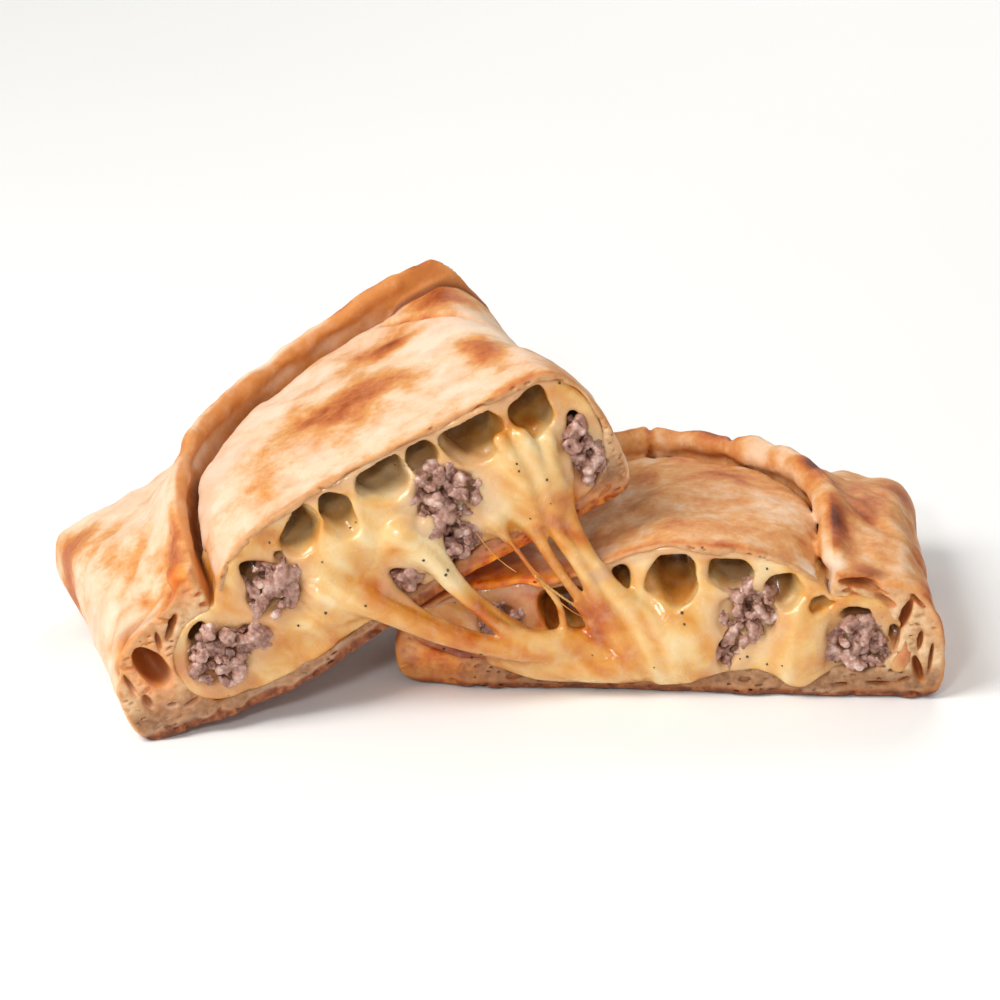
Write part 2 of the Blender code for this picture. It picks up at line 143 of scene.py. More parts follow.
def spline_weights(values, axis, size):
    """First lattice index and the four weights for each value along one axis."""
    place_on = (np.asarray(values, dtype=np.float64) - LATTICE_LOW[axis]) / size
    first = np.floor(place_on).astype(int)
    t = place_on - first
    weights = np.stack([(1 - t) ** 3, 3 * t**3 - 6 * t**2 + 4, -3 * t**3 + 3 * t**2 + 3 * t + 1, t**3])
    return np.maximum(first, 0), (weights / 6).astype(np.float32)


def noise_grid(seed, size, axes):
    """Noise of about unit spread on the grid that three arrays of coordinates span."""
    field = lattice(seed, size)
    for axis, values in enumerate(axes):
        first, weights = spline_weights(values, axis, size)
        field = np.moveaxis(field, axis, 0)
        blended = sum(weights[k].reshape(-1, 1, 1) * field[first + k] for k in range(4))
        field = np.moveaxis(blended, 0, axis)
    return field


def noise_at(seed, size, points):
    """The same noise at scattered points."""
    field = lattice(seed, size)
    spans = [spline_weights(points[:, axis], axis, size) for axis in range(3)]
    total = np.zeros(len(points), dtype=np.float32)
    for i in range(4):
        for j in range(4):
            for k in range(4):
                weight = spans[0][1][i] * spans[1][1][j] * spans[2][1][k]
                total += weight * field[spans[0][0] + i, spans[1][0] + j, spans[2][0] + k]
    return total


def ease(t):
    t = np.clip(t, 0.0, 1.0)
    return t * t * (3 - 2 * t)


def smooth_min(a, b, width):
    """The lower of two fields, with a fillet about as wide as width where they meet."""
    h = np.maximum(width - np.abs(a - b), 0.0) / width
    return np.minimum(a, b) - h * h * width * 0.25


def smooth_max(a, b, width):
    return -smooth_min(-a, -b, width)


# %% [markdown]
# ## From a field to a mesh
#
# Every grid cell that the surface passes through gets one point, at the mean of the places where its
# edges cross zero. Every grid edge that crosses joins the four cells around it with a face. Blender's
# Volume to Mesh node does much the same, but only on even grids, and these are finer at the cut.

# %% Surface nets
def surface(field, axes):
    """Points and faces of the zero level of a field whose outermost layer is positive."""
    inside = field < 0
    shape = tuple(n - 1 for n in field.shape)
    cells, sums, faces = [], [], []
    for axis in range(3):
        low = [slice(None)] * 3
        high = [slice(None)] * 3
        low[axis], high[axis] = slice(0, -1), slice(1, None)
        crossing = np.argwhere(inside[tuple(low)] != inside[tuple(high)])
        step = np.zeros(3, dtype=int)
        step[axis] = 1
        near = field[tuple(crossing.T)].astype(np.float64)
        far = field[tuple((crossing + step).T)].astype(np.float64)
        share = near / (near - far)
        spot = np.stack([axes[a][crossing[:, a]] for a in range(3)], axis=1).astype(np.float64)
        gap = axes[axis][crossing[:, axis] + 1] - axes[axis][crossing[:, axis]]
        spot[:, axis] += share * gap
        one, two = (axis + 1) % 3, (axis + 2) % 3
        corners = []
        for back_one, back_two in ((0, 0), (1, 0), (1, 1), (0, 1)):
            cell = crossing.copy()
            cell[:, one] -= back_one
            cell[:, two] -= back_two
            corners.append(np.ravel_multi_index(tuple(cell.T), shape))
            sums.append(spot)
        cells.extend(corners)
        quad = np.stack(corners, axis=1)
        quad[near > 0] = quad[near > 0][:, ::-1]
        faces.append(quad)
    ids, index = np.unique(np.concatenate(cells), return_inverse=True)
    spots = np.concatenate(sums)
    count = np.bincount(index)
    points = np.stack([np.bincount(index, spots[:, a]) / count for a in range(3)], axis=1)
    return points, np.searchsorted(ids, np.concatenate(faces))


def steepness(field, axes):
    """How fast a field changes, to turn it into distances."""
    total = np.zeros_like(field)
    for axis in range(3):
        total += np.gradient(field, axes[axis].astype(np.float32), axis=axis) ** 2
    return np.sqrt(total)


def mesh_object(name, points, faces):
    """A smooth-shaded object from points in millimetres."""
    mesh = bpy.data.meshes.new(name)
    faces = np.asarray(faces)
    mesh.vertices.add(len(points))
    mesh.vertices.foreach_set("co", (np.asarray(points) * 0.001).astype(np.float32).ravel())
    mesh.loops.add(faces.size)
    mesh.loops.foreach_set("vertex_index", faces.astype(np.int32).ravel())
    mesh.polygons.add(len(faces))
    mesh.polygons.foreach_set("loop_start", np.arange(0, faces.size, faces.shape[1], dtype=np.int32))
    mesh.polygons.foreach_set("use_smooth", np.ones(len(faces), dtype=bool))
    mesh.update(calc_edges=True)
    obj = bpy.data.objects.new(name, mesh)
    scene.collection.objects.link(obj)
    return obj


def bake_modifiers(obj):
    """Turn the modified shape into a plain mesh and drop the modifiers."""
    graph = bpy.context.evaluated_depsgraph_get()
    shape = obj.evaluated_get(graph)
    mesh = bpy.data.meshes.new_from_object(shape, preserve_all_data_layers=True, depsgraph=graph)
    old = obj.data
    obj.modifiers.clear()
    obj.data = mesh
    bpy.data.meshes.remove(old)
    mesh.name = obj.name


def count_triangles(obj):
    return len(obj.data.loops) - 2 * len(obj.data.polygons)


def thin_out(obj, triangles):
    """Collapse the flattest places until the mesh has about this many triangles."""
    count = count_triangles(obj)
    if count > triangles:
        modifier = obj.modifiers.new("thin", "DECIMATE")
        modifier.ratio = triangles / count
        bake_modifiers(obj)
        obj.data.polygons.foreach_set("use_smooth", np.ones(len(obj.data.polygons), dtype=bool))


def points_of(obj):
    """The object's points, in millimetres."""
    flat = np.zeros(len(obj.data.vertices) * 3, dtype=np.float32)
    obj.data.vertices.foreach_get("co", flat)
    return flat.reshape(-1, 3).astype(np.float64) * 1000


def normals_of(obj):
    flat = np.zeros(len(obj.data.vertices) * 3, dtype=np.float32)
    obj.data.vertices.foreach_get("normal", flat)
    return flat.reshape(-1, 3)


def move_points(obj, points):
    obj.data.vertices.foreach_set("co", (points * 0.001).astype(np.float32).ravel())
    obj.data.update()


def inside_cad(points):
    """Press the last bumps that stand out of the CAD model's box back onto it."""
    low, high = (np.array(corner) * 1000 for corner in cad_bounds)
    return np.clip(points, low + 0.02, high - 0.02)


def add_mask(obj, name, values):
    layer = obj.data.attributes.new(name, "FLOAT", "POINT")
    layer.data.foreach_set("value", np.clip(values, 0, 1).astype(np.float32))


# %% [markdown]
# ## The form of a parcel
#
# A square of dough was folded over the filling, and its edges were folded again into strips. So the
# roof is a dome with two folded strips around it, and a groove runs at the foot of the strips. These
# formulas are the same as the CAD solids', so the dressed dough lies on them.

# %% Form of the dough
def groove_line(half, y):
    return half["groove_x"] - half["groove_drift"] * np.exp(-y / 6)


def fold_distance(half, x, y):
    """Distance from the groove: negative on the dome, positive on a strip."""
    radius = half["fold_radius"]
    across = groove_line(half, y) + radius - x
    along = y - (half["foot_y"] - radius)
    corner = np.hypot(np.maximum(across, 0), np.maximum(along, 0))
    return corner + np.minimum(np.maximum(across, along), 0) - radius


def shoulder(y):
    """How wide the roof rounds down to the groove: widest at the cut."""
    return 5.5 + 3.5 * np.exp(-np.maximum(y, 0) / 14)


def ear(half, x, y):
    return half["ear"] * np.exp(-(((x - 48) / 27) ** 2) - ((y - 77) / 15) ** 2)


def dome(half, x, y):
    back = np.clip(y / half["foot_y"], 0, 1)
    height = half["top_cut"] + (half["top_back"] - half["top_cut"]) * back**1.7 + ear(half, x, y)
    weight = ease((x + 2) / 32) + 0.4 * ease((x - 30) / 30)
    return height - half["pressed"] * weight * (1 - 0.45 * back**2)


def groove_depth(half, y):
    return half["press_cut"] + (half["press_back"] - half["press_cut"]) * ease(y / 55)


def roof(half, x, y):
    """Height of the top of the dough before its edges round down."""
    fold = fold_distance(half, x, y)
    press = groove_depth(half, y)
    plain = dome(half, x, y)
    on_dome = plain - press * np.exp(-np.abs(fold) / shoulder(y))
    rise = half["rise"] + (half["rise_cut"] - half["rise"]) * np.exp(-y / 9)
    fall = half["fall_cut"] + (half["fall_back"] - half["fall_cut"]) * np.clip(y / HALF_DEPTH, 0, 1)
    strip = plain - press + rise - fall * (1 - np.exp(-np.maximum(0, fold - 2) / 11))
    share = ease((fold + WALL_WIDTH / 2) / WALL_WIDTH)
    return on_dome * (1 - share) + strip * share


def side_ends(half, y):
    back = np.clip(y / HALF_DEPTH, 0, 1)
    strip = -half["strip_end"] + half["strip_narrowing"] * back**0.8 + 1.2 * np.sin(np.pi * back)
    return strip, half["smooth_end"] - half["smooth_narrowing"] * ease((y - 6) / 48)


def edge_share(half, x, y):
    """0 inside, rising to 1 at the outline in plan and past 1 beyond it."""
    low, high = side_ends(half, y)
    back = np.clip(y / HALF_DEPTH, 0, 1)
    reach = half["smooth_round"] + 3.5 * np.sin(np.pi * back) - 4 * back**3
    across = np.maximum((SIDE_ROUND - (x - low)) / SIDE_ROUND, (reach - (high - x)) / reach)
    along = (BACK_ROUND - (HALF_DEPTH - y)) / BACK_ROUND
    return np.hypot(np.maximum(across, 0), np.maximum(along, 0))


def edge_height(half, x, y):
    share = (x + 62) / 124
    return half["side_height"] * (1 - share) + half["smooth_height"] * share + 0.6 * ear(half, x, y)


def base_height(half, x):
    return -half["sag"] * np.exp(-(((x + 26) / 30) ** 2))


def outer_form(half, x, y, z):
    """Below zero inside the parcel: a dome above its widest line and a flat-bottomed bowl below it."""
    share, middle = edge_share(half, x, y), edge_height(half, x, y)
    above = np.maximum(z - middle, 0) / np.maximum(roof(half, x, y) - middle, 1)
    below = np.maximum(middle - z, 0) / np.maximum(middle - base_height(half, x), 1)
    return np.where(z > middle, np.hypot(share, above), (share**4 + below**4) ** 0.25) - 1


def chamber_lid(half, x, y):
    fold = np.minimum(0, fold_distance(half, x, y))
    return dome(half, x, y) - groove_depth(half, y) * np.exp(-np.abs(fold) / shoulder(y)) - ROOF_CRUST


def chamber_form(half, x, y, z):
    """Below zero inside the room for the filling."""
    along = np.maximum((CHAMBER_ROUND - (CHAMBER_BACK - y)) / CHAMBER_ROUND, 0)
    reach = half["smooth_round"]
    high = half["chamber_smooth_end"] - 0.6 * half["smooth_narrowing"] * ease((y - 6) / 48)
    left = (CHAMBER_ROUND - (x + half["chamber_strip_end"])) / CHAMBER_ROUND
    share = np.maximum(np.maximum(left, (reach - (high - x)) / reach), 0)
    lid = chamber_lid(half, x, y)
    floor = half["base_crust"] + base_height(half, x)
    tall = np.abs(z - 0.5 * (lid + floor)) / np.maximum(0.5 * (lid - floor), 1)
    return np.sqrt(tall**2 + share**2.4 + along**2.4) - 1


# %% [markdown]
# ## Dough
#
# Baked dough has a wrinkled, blistered skin and, where it was cut, an open crumb with torn layers. It
# could be sculpted by hand, but as a field the skin, the room for the filling and the cut blend
# without a seam. The field of a half is its outer form, less the room, less everything in front of
# the cut. Relief is added to the distances.

# %% Dough settings
MOST_TRIANGLES = 185000  # in one piece
CHAMBER_SHOWN = 21.0  # the filling's room is only opened this far behind the cut
HALVES = {"leaning": (LEANING, LEAN_POSE), "flat": (FLAT, FLAT_POSE)}

RIPPLES = [(0.34, 9), (0.15, 3.6), (0.06, 1.5)]  # height and width of the broad, middle and fine ones
WRINKLE_HEIGHT, BLISTER_HEIGHT = 0.26, 0.6
PORES = 170  # in each cut face

# Raised blisters on the roof, each (x, y, radius along x, radius along y)
BLISTERS = {
    "leaning": [(8, 27, 5, 3.5), (17, 31, 6, 4), (25, 28, 4, 4), (31, 51, 5, 3), (48, 22, 3, 5),
                (38, 34, 3, 2.5), (-10, 12, 3, 4), (-14, 24, 2.5, 2.5), (3, 46, 4, 3), (50, 33, 3, 2)],
    "flat": [(-12, 45, 6, 3.5), (3, 50, 5, 4), (-8, 12, 5, 3), (14, 40, 5, 4), (-20, 30, 4, 3),
             (5, 28, 4, 3), (28, 50, 5, 4), (-3, 62, 4, 2.5)],
}

# The rolled crest of a fold: distance from the groove, radius, drop below the strip's top, where it
# starts at the cut and where it ends along the back
CREST = {"leaning": (1.7, 2.3, 2.2, 10.0, 40.0), "flat": (1.6, 3.4, 2.4, 9.5, 24.0)}
FLAP_RIM = ((-36.5, 4.0, 30.8), (3.0, 4.5, 3.0))  # the curled corner of the leaning half's side strip
CREVICE = {"leaning": (3.6, 5.5), "flat": (2.4, 3.5)}  # depth along the groove, and extra at the cut

# Gaps between folded layers at the cut, each (x, y, z, radii along x, y and z, tilt)
LAYER_GAPS = {
    "leaning": [
        (-51.2, 0, 15.6, 3.1, 8, 6.3, 0.25), (-43.5, 0, 22.5, 3.4, 4, 0.9, 0.8),
        (-55.5, 0, 8.0, 1.0, 3, 2.4, 0.1), (-46.8, 0, 3.0, 2.4, 3, 0.7, 0.1),
        (-51.0, 0, 4.6, 1.5, 3, 0.6, -0.3), (-57.4, 0, 14.0, 0.6, 3, 3.4, 0.1),
        (-41.0, 0, 0.6, 1.9, 3, 0.6, -0.2), (-47.4, 0, 21.0, 0.6, 3, 2.4, -0.2),
    ],
    "flat": [
        (-43.5, 0, 28.7, 4.9, 4, 1.1, 0.1), (-54.2, 0, 21.2, 1.2, 4, 4.2, 0.35),
        (-57.6, 0, 7.6, 1.1, 4, 3.8, -0.3), (-49.5, 0, 24.6, 3.2, 3, 0.9, 0.5),
        (-37.2, 1.0, 34.6, 3.6, 7.5, 4.6, 0.3), (-57.8, 0, 15.0, 0.7, 3, 2.6, 0.1),
        (-60.4, 0, 11.0, 0.45, 3, 4.2, 0.1), (-57.0, 0, 24.6, 2.6, 3, 0.5, 0.75),
        (-49.0, 0, 4.0, 3.4, 3, 0.5, 0.05), (-47.6, 0, 27.0, 3.2, 3, 0.45, 0.3),
        (-40.0, 0, 3.4, 2.2, 3, 0.5, -0.1), (-54.6, 0, 5.0, 1.6, 3, 0.6, -0.5),
    ],
}
# Creases pressed into the skin: points (x, y), depth, width
CREASES = {
    "leaning": [
        ([(34, 66), (38, 62), (42, 57), (47, 52), (54, 48)], 1.7, 1.2),
        ([(-38, 36), (-48, 24), (-58, 12)], 0.9, 1.6), ([(-38, 16), (-48, 9), (-59, 2)], 1.0, 1.5),
        ([(-36, 12), (-40, 8), (-43, 2)], 0.8, 0.9), ([(-35, 22), (-40, 19), (-45, 17)], 0.6, 0.9),
        ([(-40, 54), (-51, 47), (-60, 40)], 0.7, 2.2), ([(-40, 26), (-46, 14), (-56, 5)], 0.5, 1.2),
        ([(50, 20), (56, 30), (60, 44)], 0.4, 2.0),
    ],
    "flat": [
        ([(-40, 58), (-50, 46), (-60, 36)], 0.8, 1.8), ([(-40, 34), (-50, 24), (-61, 18)], 0.7, 2.0),
        ([(-27, 60), (-33, 68), (-40, 74)], 0.7, 1.6), ([(4, 66), (6, 71), (5, 76)], 1.1, 0.9),
        ([(-14, 64), (-16, 70), (-15, 76)], 1.1, 0.9), ([(22, 66), (25, 71), (26, 76)], 0.8, 1.0),
    ],
}


def fold_path(half, offset, start, end, count=150):
    """Points (x, y) at one distance from the groove, from the cut and along the back."""
    radius = half["fold_radius"]
    bend_x, bend_y = half["groove_x"] + radius, half["foot_y"] - radius
    reach = radius + offset
    side = [(half["groove_x"] - offset - half["groove_drift"] * math.exp(-y / 6), y)
            for y in np.linspace(start, bend_y, count // 3)]
    turn = [(bend_x - reach * math.cos(t), bend_y + reach * math.sin(t))
            for t in np.linspace(0.05, math.pi / 2, count // 3)]
    back = [(x, half["foot_y"] + offset) for x in np.linspace(bend_x + 2, end, count // 3)]
    return np.array(side + turn + (back if end > bend_x + 2 else []))


def spaced(*stops):
    """Coordinates through (start, end, step) stretches."""
    parts = [np.arange(start, end - 1e-6, step) for start, end, step in stops]
    return np.concatenate(parts + [[stops[-1][1]]]).astype(np.float64)


def stamp(field, axes, centre, radii, pitch, blend, sign):
    """Join (sign 1) or cut (sign -1) a turned ellipsoid, touching only the grid around it."""
    reach = max(radii) + 2 * blend + 1
    spans = [slice(*np.searchsorted(axes[a], [centre[a] - reach, centre[a] + reach])) for a in range(3)]
    if min(s.stop - s.start for s in spans) < 1:
        return
    x, y, z = np.meshgrid(*(axes[a][spans[a]] - centre[a] for a in range(3)), indexing="ij", sparse=True)
    c, s = math.cos(pitch), math.sin(pitch)
    u, v = c * x + s * z, -s * x + c * z
    scale = np.sqrt((u / radii[0]) ** 2 + (y / radii[1]) ** 2 + (v / radii[2]) ** 2)
    ball = (scale - 1) * min(radii)
    part = field[tuple(spans)]
    joined = smooth_min(part, ball, blend) if sign > 0 else smooth_max(part, -ball, blend)
    field[tuple(spans)] = joined


def seal(field):
    """Keep the outermost layer of the grid outside the shape."""
    for axis in range(3):
        edge = [slice(None)] * 3
        for end in (0, -1):
            edge[axis] = end
            field[tuple(edge)] = np.maximum(field[tuple(edge)], 0.3)
    return field


def segment_ends(path, reach):
    for start, end in zip(path, path[1:]):
        low = np.minimum(start[:3], end[:3]) - reach
        high = np.maximum(start[:3], end[:3]) + reach
        yield start, end, low, high


def stamp_rope(field, axes, path, blend):
    """Join a chain of tapering segments: one (x, y, z, radius) row per point."""
    pad = 2 * blend + 1 + path[:, 3].max()
    low, high = path[:, :3].min(0) - pad, path[:, :3].max(0) + pad
    spans = [slice(*np.searchsorted(axes[a], [low[a], high[a]])) for a in range(3)]
    near = np.full([s.stop - s.start for s in spans], 99.0, dtype=np.float32)
    for start, end, low, high in segment_ends(path, pad):
        part = [slice(*np.searchsorted(axes[a][spans[a]], [low[a], high[a]])) for a in range(3)]
        x, y, z = np.meshgrid(*(axes[a][spans[a]][part[a]] for a in range(3)), indexing="ij", sparse=True)
        run = end[:3] - start[:3]
        t = ((x - start[0]) * run[0] + (y - start[1]) * run[1] + (z - start[2]) * run[2]) / (run @ run)
        t = np.clip(t, 0, 1)
        gap = (x - start[0] - t * run[0]) ** 2 + (y - start[1] - t * run[1]) ** 2
        gap = np.sqrt(gap + (z - start[2] - t * run[2]) ** 2) - (start[3] + t * (end[3] - start[3]))
        near[tuple(part)] = np.minimum(near[tuple(part)], gap)
    field[tuple(spans)] = smooth_min(field[tuple(spans)], near, blend)


def stretch_gaps(path, x, y):
    """The distances in plan from each straight stretch of a path."""
    for start, end in zip(path, path[1:]):
        run = np.subtract(end, start)
        t = np.clip(((x - start[0]) * run[0] + (y - start[1]) * run[1]) / (run @ run), 0, 1)
        yield np.hypot(x - start[0] - t * run[0], y - start[1] - t * run[1])


def dough_relief(name, half, axes, x, y, z, seed):
    """How far the skin stands out, in millimetres."""
    fold = fold_distance(half, x, y)
    on_top = ease((z - edge_height(half, x, y)) / 4)
    relief = sum(high * noise_grid(seed + k, wide, axes) for k, (high, wide) in enumerate(RIPPLES))
    wrinkles = noise_grid(seed + 3, 3.0, [axes[0], axes[1] * 0.35, axes[2]])
    relief += WRINKLE_HEIGHT * wrinkles * ease((fold - 3) / 3) * on_top
    for bx, by, rx, ry in BLISTERS[name]:
        spot = ((x - bx) / rx) ** 2 + ((y - by) / ry) ** 2
        uneven = 1 + 0.3 * noise_grid(seed + 7, 2.4, axes)
        relief += BLISTER_HEIGHT * np.exp(-(spot**2)) * on_top * uneven
    for crease, depth, width in CREASES[name]:
        gap = np.minimum.reduce(list(stretch_gaps(crease, x, y)))
        relief -= depth * np.exp(-((gap / width) ** 2)) * on_top
    flat_below = 1 - 0.75 * ease((z - edge_height(half, x, y)) / -2)
    return np.clip(relief, -1.6, 0.5) * flat_below - 0.3


def carve_crevice(field, name, half, x, y, z):
    """The dark line at the foot of the fold, deepest at the cut."""
    fold = fold_distance(half, x, y)
    depth, extra = CREVICE[name]
    bottom = dome(half, x, y) - groove_depth(half, y) - depth - extra * np.exp(-np.maximum(y, 0) / 5)
    fade = ease((x + 8) / 14) if name == "flat" else ease((x - 30) / 12)
    bottom = bottom + (depth + 2) * fade * ease((y - 30) / 20)
    width = 0.5 + 0.13 * np.clip(z - bottom, 0, 9)
    slot = np.maximum(np.abs(fold + 0.7) - width, bottom - z)
    return smooth_max(field, -slot, 0.9)


def dough_field(name, half):
    axes = [
        spaced((-65.5, 68.5, 0.5)),
        spaced((-2.2, 4.0, 0.42), (4.0, 24.0, 0.58), (24.0, 79.5, 0.62)),
        spaced((-8.6, 46.0, 0.52)),
    ]
    x, y, z = np.meshgrid(*(a.astype(np.float32) for a in axes), indexing="ij", sparse=True)
    form = outer_form(half, x, y, z).astype(np.float32)
    outer = form / np.clip(steepness(form, axes), 0.02, 10)
    seed = 10 if name == "leaning" else 40
    outer = carve_crevice(outer, name, half, x, y, z)
    offset, radius, drop, start, end = CREST[name]
    crest = fold_path(half, offset, start, end)
    height = roof(half, *crest.T) - drop + 0.25 * np.sin(crest[:, 1] * 0.6 + crest[:, 0] * 0.45)
    wave = 1 + 0.07 * np.sin(crest[:, 1] * 0.43 + crest[:, 0] * 0.31)
    if name == "leaning":
        wave = wave * (0.3 + 0.7 * ease((crest[:, 1] - start) / 10))
    stamp_rope(outer, axes, np.column_stack([crest, height, radius * wave]), 1.6)
    if name == "leaning":
        stamp(outer, axes, *FLAP_RIM, 0.0, 1.6, 1)
    outer -= dough_relief(name, half, axes, x, y, z, seed)
    room = chamber_form(half, x, y, z).astype(np.float32)
    room = room / np.clip(steepness(room, axes), 0.02, 10) + 0.35 * noise_grid(seed + 8, 4, axes)
    room = smooth_max(room, (y - CHAMBER_SHOWN) + 0 * room, 6)
    cut = 0.3 * noise_grid(seed + 4, 4.5, axes) + 0.1 * noise_grid(seed + 5, 1.6, axes) - y
    field = smooth_max(outer, -room, 0.7)
    field = smooth_max(field, cut, 1.3)
    for gx, gy, gz, rx, ry, rz, tilt in LAYER_GAPS[name]:
        stamp(field, axes, (gx, gy, gz), (rx, ry, rz), tilt, 0.8, -1)
    add_pores(field, axes, np.random.default_rng(seed + 6))
    return seal(field), axes


def add_pores(field, axes, rng):
    """Cut small flat holes at random places of the cut face, where there is dough behind it."""
    count = 0
    while count < PORES:
        px, pz = rng.uniform(-62, 65), rng.uniform(-6, 40)
        probe = [np.searchsorted(axes[0], px), np.searchsorted(axes[1], 0.9), np.searchsorted(axes[2], pz)]
        if probe[2] >= len(axes[2]) or field[tuple(probe)] > -0.6:
            continue
        size = rng.uniform(0.28, 0.5) * (1.9 if rng.random() < 0.12 else 1)
        radii = (size * rng.uniform(1.2, 2.8), size * 1.6, size * rng.uniform(0.6, 0.9))
        stamp(field, axes, (px, rng.uniform(-0.1, 0.4), pz), radii, rng.normal(0, 0.35), 0.3, -1)
        count += 1


# %% [markdown]
# ## Where the dough browned
#
# Dough browns where it stands nearest the heat: on blisters, on the crest of the fold and at the edge
# of the outline. Flour keeps a place pale. An image could hold this, but a mask stored on the mesh
# needs no unwrapping and stays with the shape. Each half has soft patches, given as centre, radii and
# strength, and the shader breaks up their edges.
# Some masks are painted light: shade in folds, creases and layer gaps, and orange light from the cheese.

# %% Baking masks
BASE_BAKE_AND_SHADE = {"leaning": 0.13, "flat": 0.36}  # before any patch; the flat half's is partly painted shade
CREST_BAKE = {"leaning": 0.22, "flat": 0.24}  # added along the crest of the fold
# Browning patches (x, y, radii along x and y, strength); the flat half's (4, 50) one is painted shade.
BAKED_AND_SHADED = {
    "leaning": [
        (13, 30, 15, 11, 0.54), (24, 31, 7, 8, 0.26), (30, 51, 10, 6, 0.52), (48, 23, 5, 11, 0.5),
        (-11, 13, 5, 7, 0.3), (-8, 24, 7, 5, 0.12), (48, 66, 8, 10, 0.6), (-57, 60, 7, 9, 0.5),
        (-48, 36, 4, 12, 0.26), (-55, 8, 6, 8, 0.14), (-35, 16, 3.5, 10, 0.45), (-38.5, 5, 5, 7, 0.5),
        (60, 14, 3.5, 12, 0.4), (44, 44, 13, 5, -0.3), (-20, 40, 8, 12, -0.2), (22, 12, 16, 6, -0.06),
    ],
    "flat": [
        (-12, 45, 7, 4, 0.25), (4, 50, 15, 9, 0.16), (-6, 10, 14, 5, 0.14), (-47, 37, 6, 13, 0.2),
        (-57, 60, 6, 8, 0.25), (-60, 16, 4, 12, 0.25), (-38.5, 16.5, 3.5, 9, 0.42),
        (-34, 42, 3.5, 9, 0.3), (25, 30, 12, 10, 0.05), (-25, 25, 6, 8, -0.12), (-34, 2, 4, 3.5, -0.5),
        (-20, 56, 5, 3, -0.15),
    ],
}
PAINTED_GLOW = {  # painted orange light from the cheese on the crust: x, y, z, radii, strength
    "leaning": [(36, 1, -0.5, 20, 8, 4.5, 1.0), (-51.4, 3, 15, 5, 6, 7, 0.9), (-37, 1, 31, 4, 6, 5, 0.5),
                (54, 3, 2, 10, 6, 4, 0.5)],
    "flat": [(40, 0, 28, 16, 10, 6, 1.0), (52, 0, 9, 9, 6, 7, 0.8), (24, 6, 22, 9, 9, 9, 0.8)],
}


def paint_skin(obj, name, half, points):
    """Masks of the skin: how brown it is, and painted shade on the fold's inner side and along its foot."""
    x, y, z = points.T
    fold, middle = fold_distance(half, x, y), edge_height(half, x, y)
    bake = np.full(len(points), BASE_BAKE_AND_SHADE[name])
    for bx, by, rx, ry, strength in BAKED_AND_SHADED[name]:
        bake += strength * np.exp(-(((x - bx) / rx) ** 2) - ((y - by) / ry) ** 2)
    groove_floor = dome(half, x, y) - groove_depth(half, y)
    high = ease((z - groove_floor - 1.5) / 3)
    crest = np.exp(-(((fold - 2.0) / 2.2) ** 2)) * high
    # Painted shade on the fold's inner side, strong on the leaning half and faint on the flat one.
    wall = ease((fold + 1.2) / 0.5) * (1 - ease((fold - 0.5) / 1.1)) * ease((z - middle) / 2)
    if name == "flat":
        wall = 0.12 * wall
        inner = ease((fold + 1.5) / 1) * (1 - ease((fold - 0.8) / 1))
        bake -= 0.3 * inner * np.exp(-((y - 10) / 16) ** 2)
    bake += CREST_BAKE[name] * crest * (0.5 + 0.6 * noise_at(71, 5, points))
    outline = ease((edge_share(half, x, y) - 0.8) / 0.2) * np.exp(-(((z - middle) / 5) ** 2))
    bake += 0.16 * outline * ease((y - 3) / 8) * (0.6 + 0.6 * noise_at(79, 7, points))
    bake += 0.3 * np.exp(-np.maximum(y, 0) / 1.5) * ease((z - middle) / 3)
    bake += 0.05 * noise_at(72, 5, points) + 0.04 * noise_at(73, 2, points)
    # Painted shade: each crease is painted darker.
    for crease, depth, width in CREASES[name]:
        for gap in stretch_gaps(crease, x, y):
            bake += 0.12 * depth * np.exp(-((gap / width) ** 2)) * ease((z - middle) / 4)
    # Painted shade: a dark line along the foot of the fold.
    pinch = np.exp(-(((fold + 0.7) / 0.9) ** 2)) * ease((groove_floor + 1.6 - z) / 1.6)
    add_mask(obj, "pinch", pinch * ease((z - middle) / 2))
    add_mask(obj, "bake", bake)
    add_mask(obj, "wall", wall)


def paint_crumb(obj, name, half, points):
    """Masks of the base and the cut face: seared, low, crumb, depth below the skin, painted gap shade,
    painted orange light.
    """
    x, y, z = points.T
    middle = edge_height(half, x, y)
    form = outer_form(half, x, y, z)
    skin = -form * np.maximum(np.abs(z - middle), 8)
    below = (middle - z) / (middle - base_height(half, x))
    seared = ease((below - 0.66) / 0.2) * (1 - ease((skin - 2.0 - 0.6 * noise_at(74, 2.5, points)) / 0.8))
    add_mask(obj, "under", seared)
    add_mask(obj, "low", ease((below - 0.1) / 0.45))
    near_cut = 1 - ease((y - 0.45) / 0.9)
    room = chamber_form(half, x, y, z)
    inside = (1 - ease((room * 20 - 0.8) / 1.4)) * (y < CHAMBER_SHOWN + 1)
    crumb = np.maximum(near_cut * ease((skin - 0.15) / 0.8), inside) * (1 - 0.85 * seared)
    add_mask(obj, "crumb", crumb)
    add_mask(obj, "depth", skin / np.where(z > middle + 4, 13, 6))
    # Painted shade inside the gaps between layers, darker further behind the cut face.
    hidden = np.zeros(len(points))
    for hx, _, hz, rx, depth, rz, _ in [gap for gap in LAYER_GAPS[name] if gap[2] < 30]:
        near = np.exp(-(((x - hx) / (rx + 1)) ** 4) - ((z - hz) / (rz + 1)) ** 4)
        hidden = np.maximum(hidden, near * ease((y - 0.6) / 3.5) * (1 - ease((y - depth - 1) / 2)))
    add_mask(obj, "hidden", hidden)
    # Painted orange light from the cheese, where it falls on the crust.
    glow = np.zeros(len(points))
    for gx, gy, gz, rx, ry, rz, strength in PAINTED_GLOW[name]:
        spot = ((x - gx) / rx) ** 2 + ((y - gy) / ry) ** 2 + ((z - gz) / rz) ** 2
        glow = np.maximum(glow, strength * np.exp(-spot))
    add_mask(obj, "glow", glow)


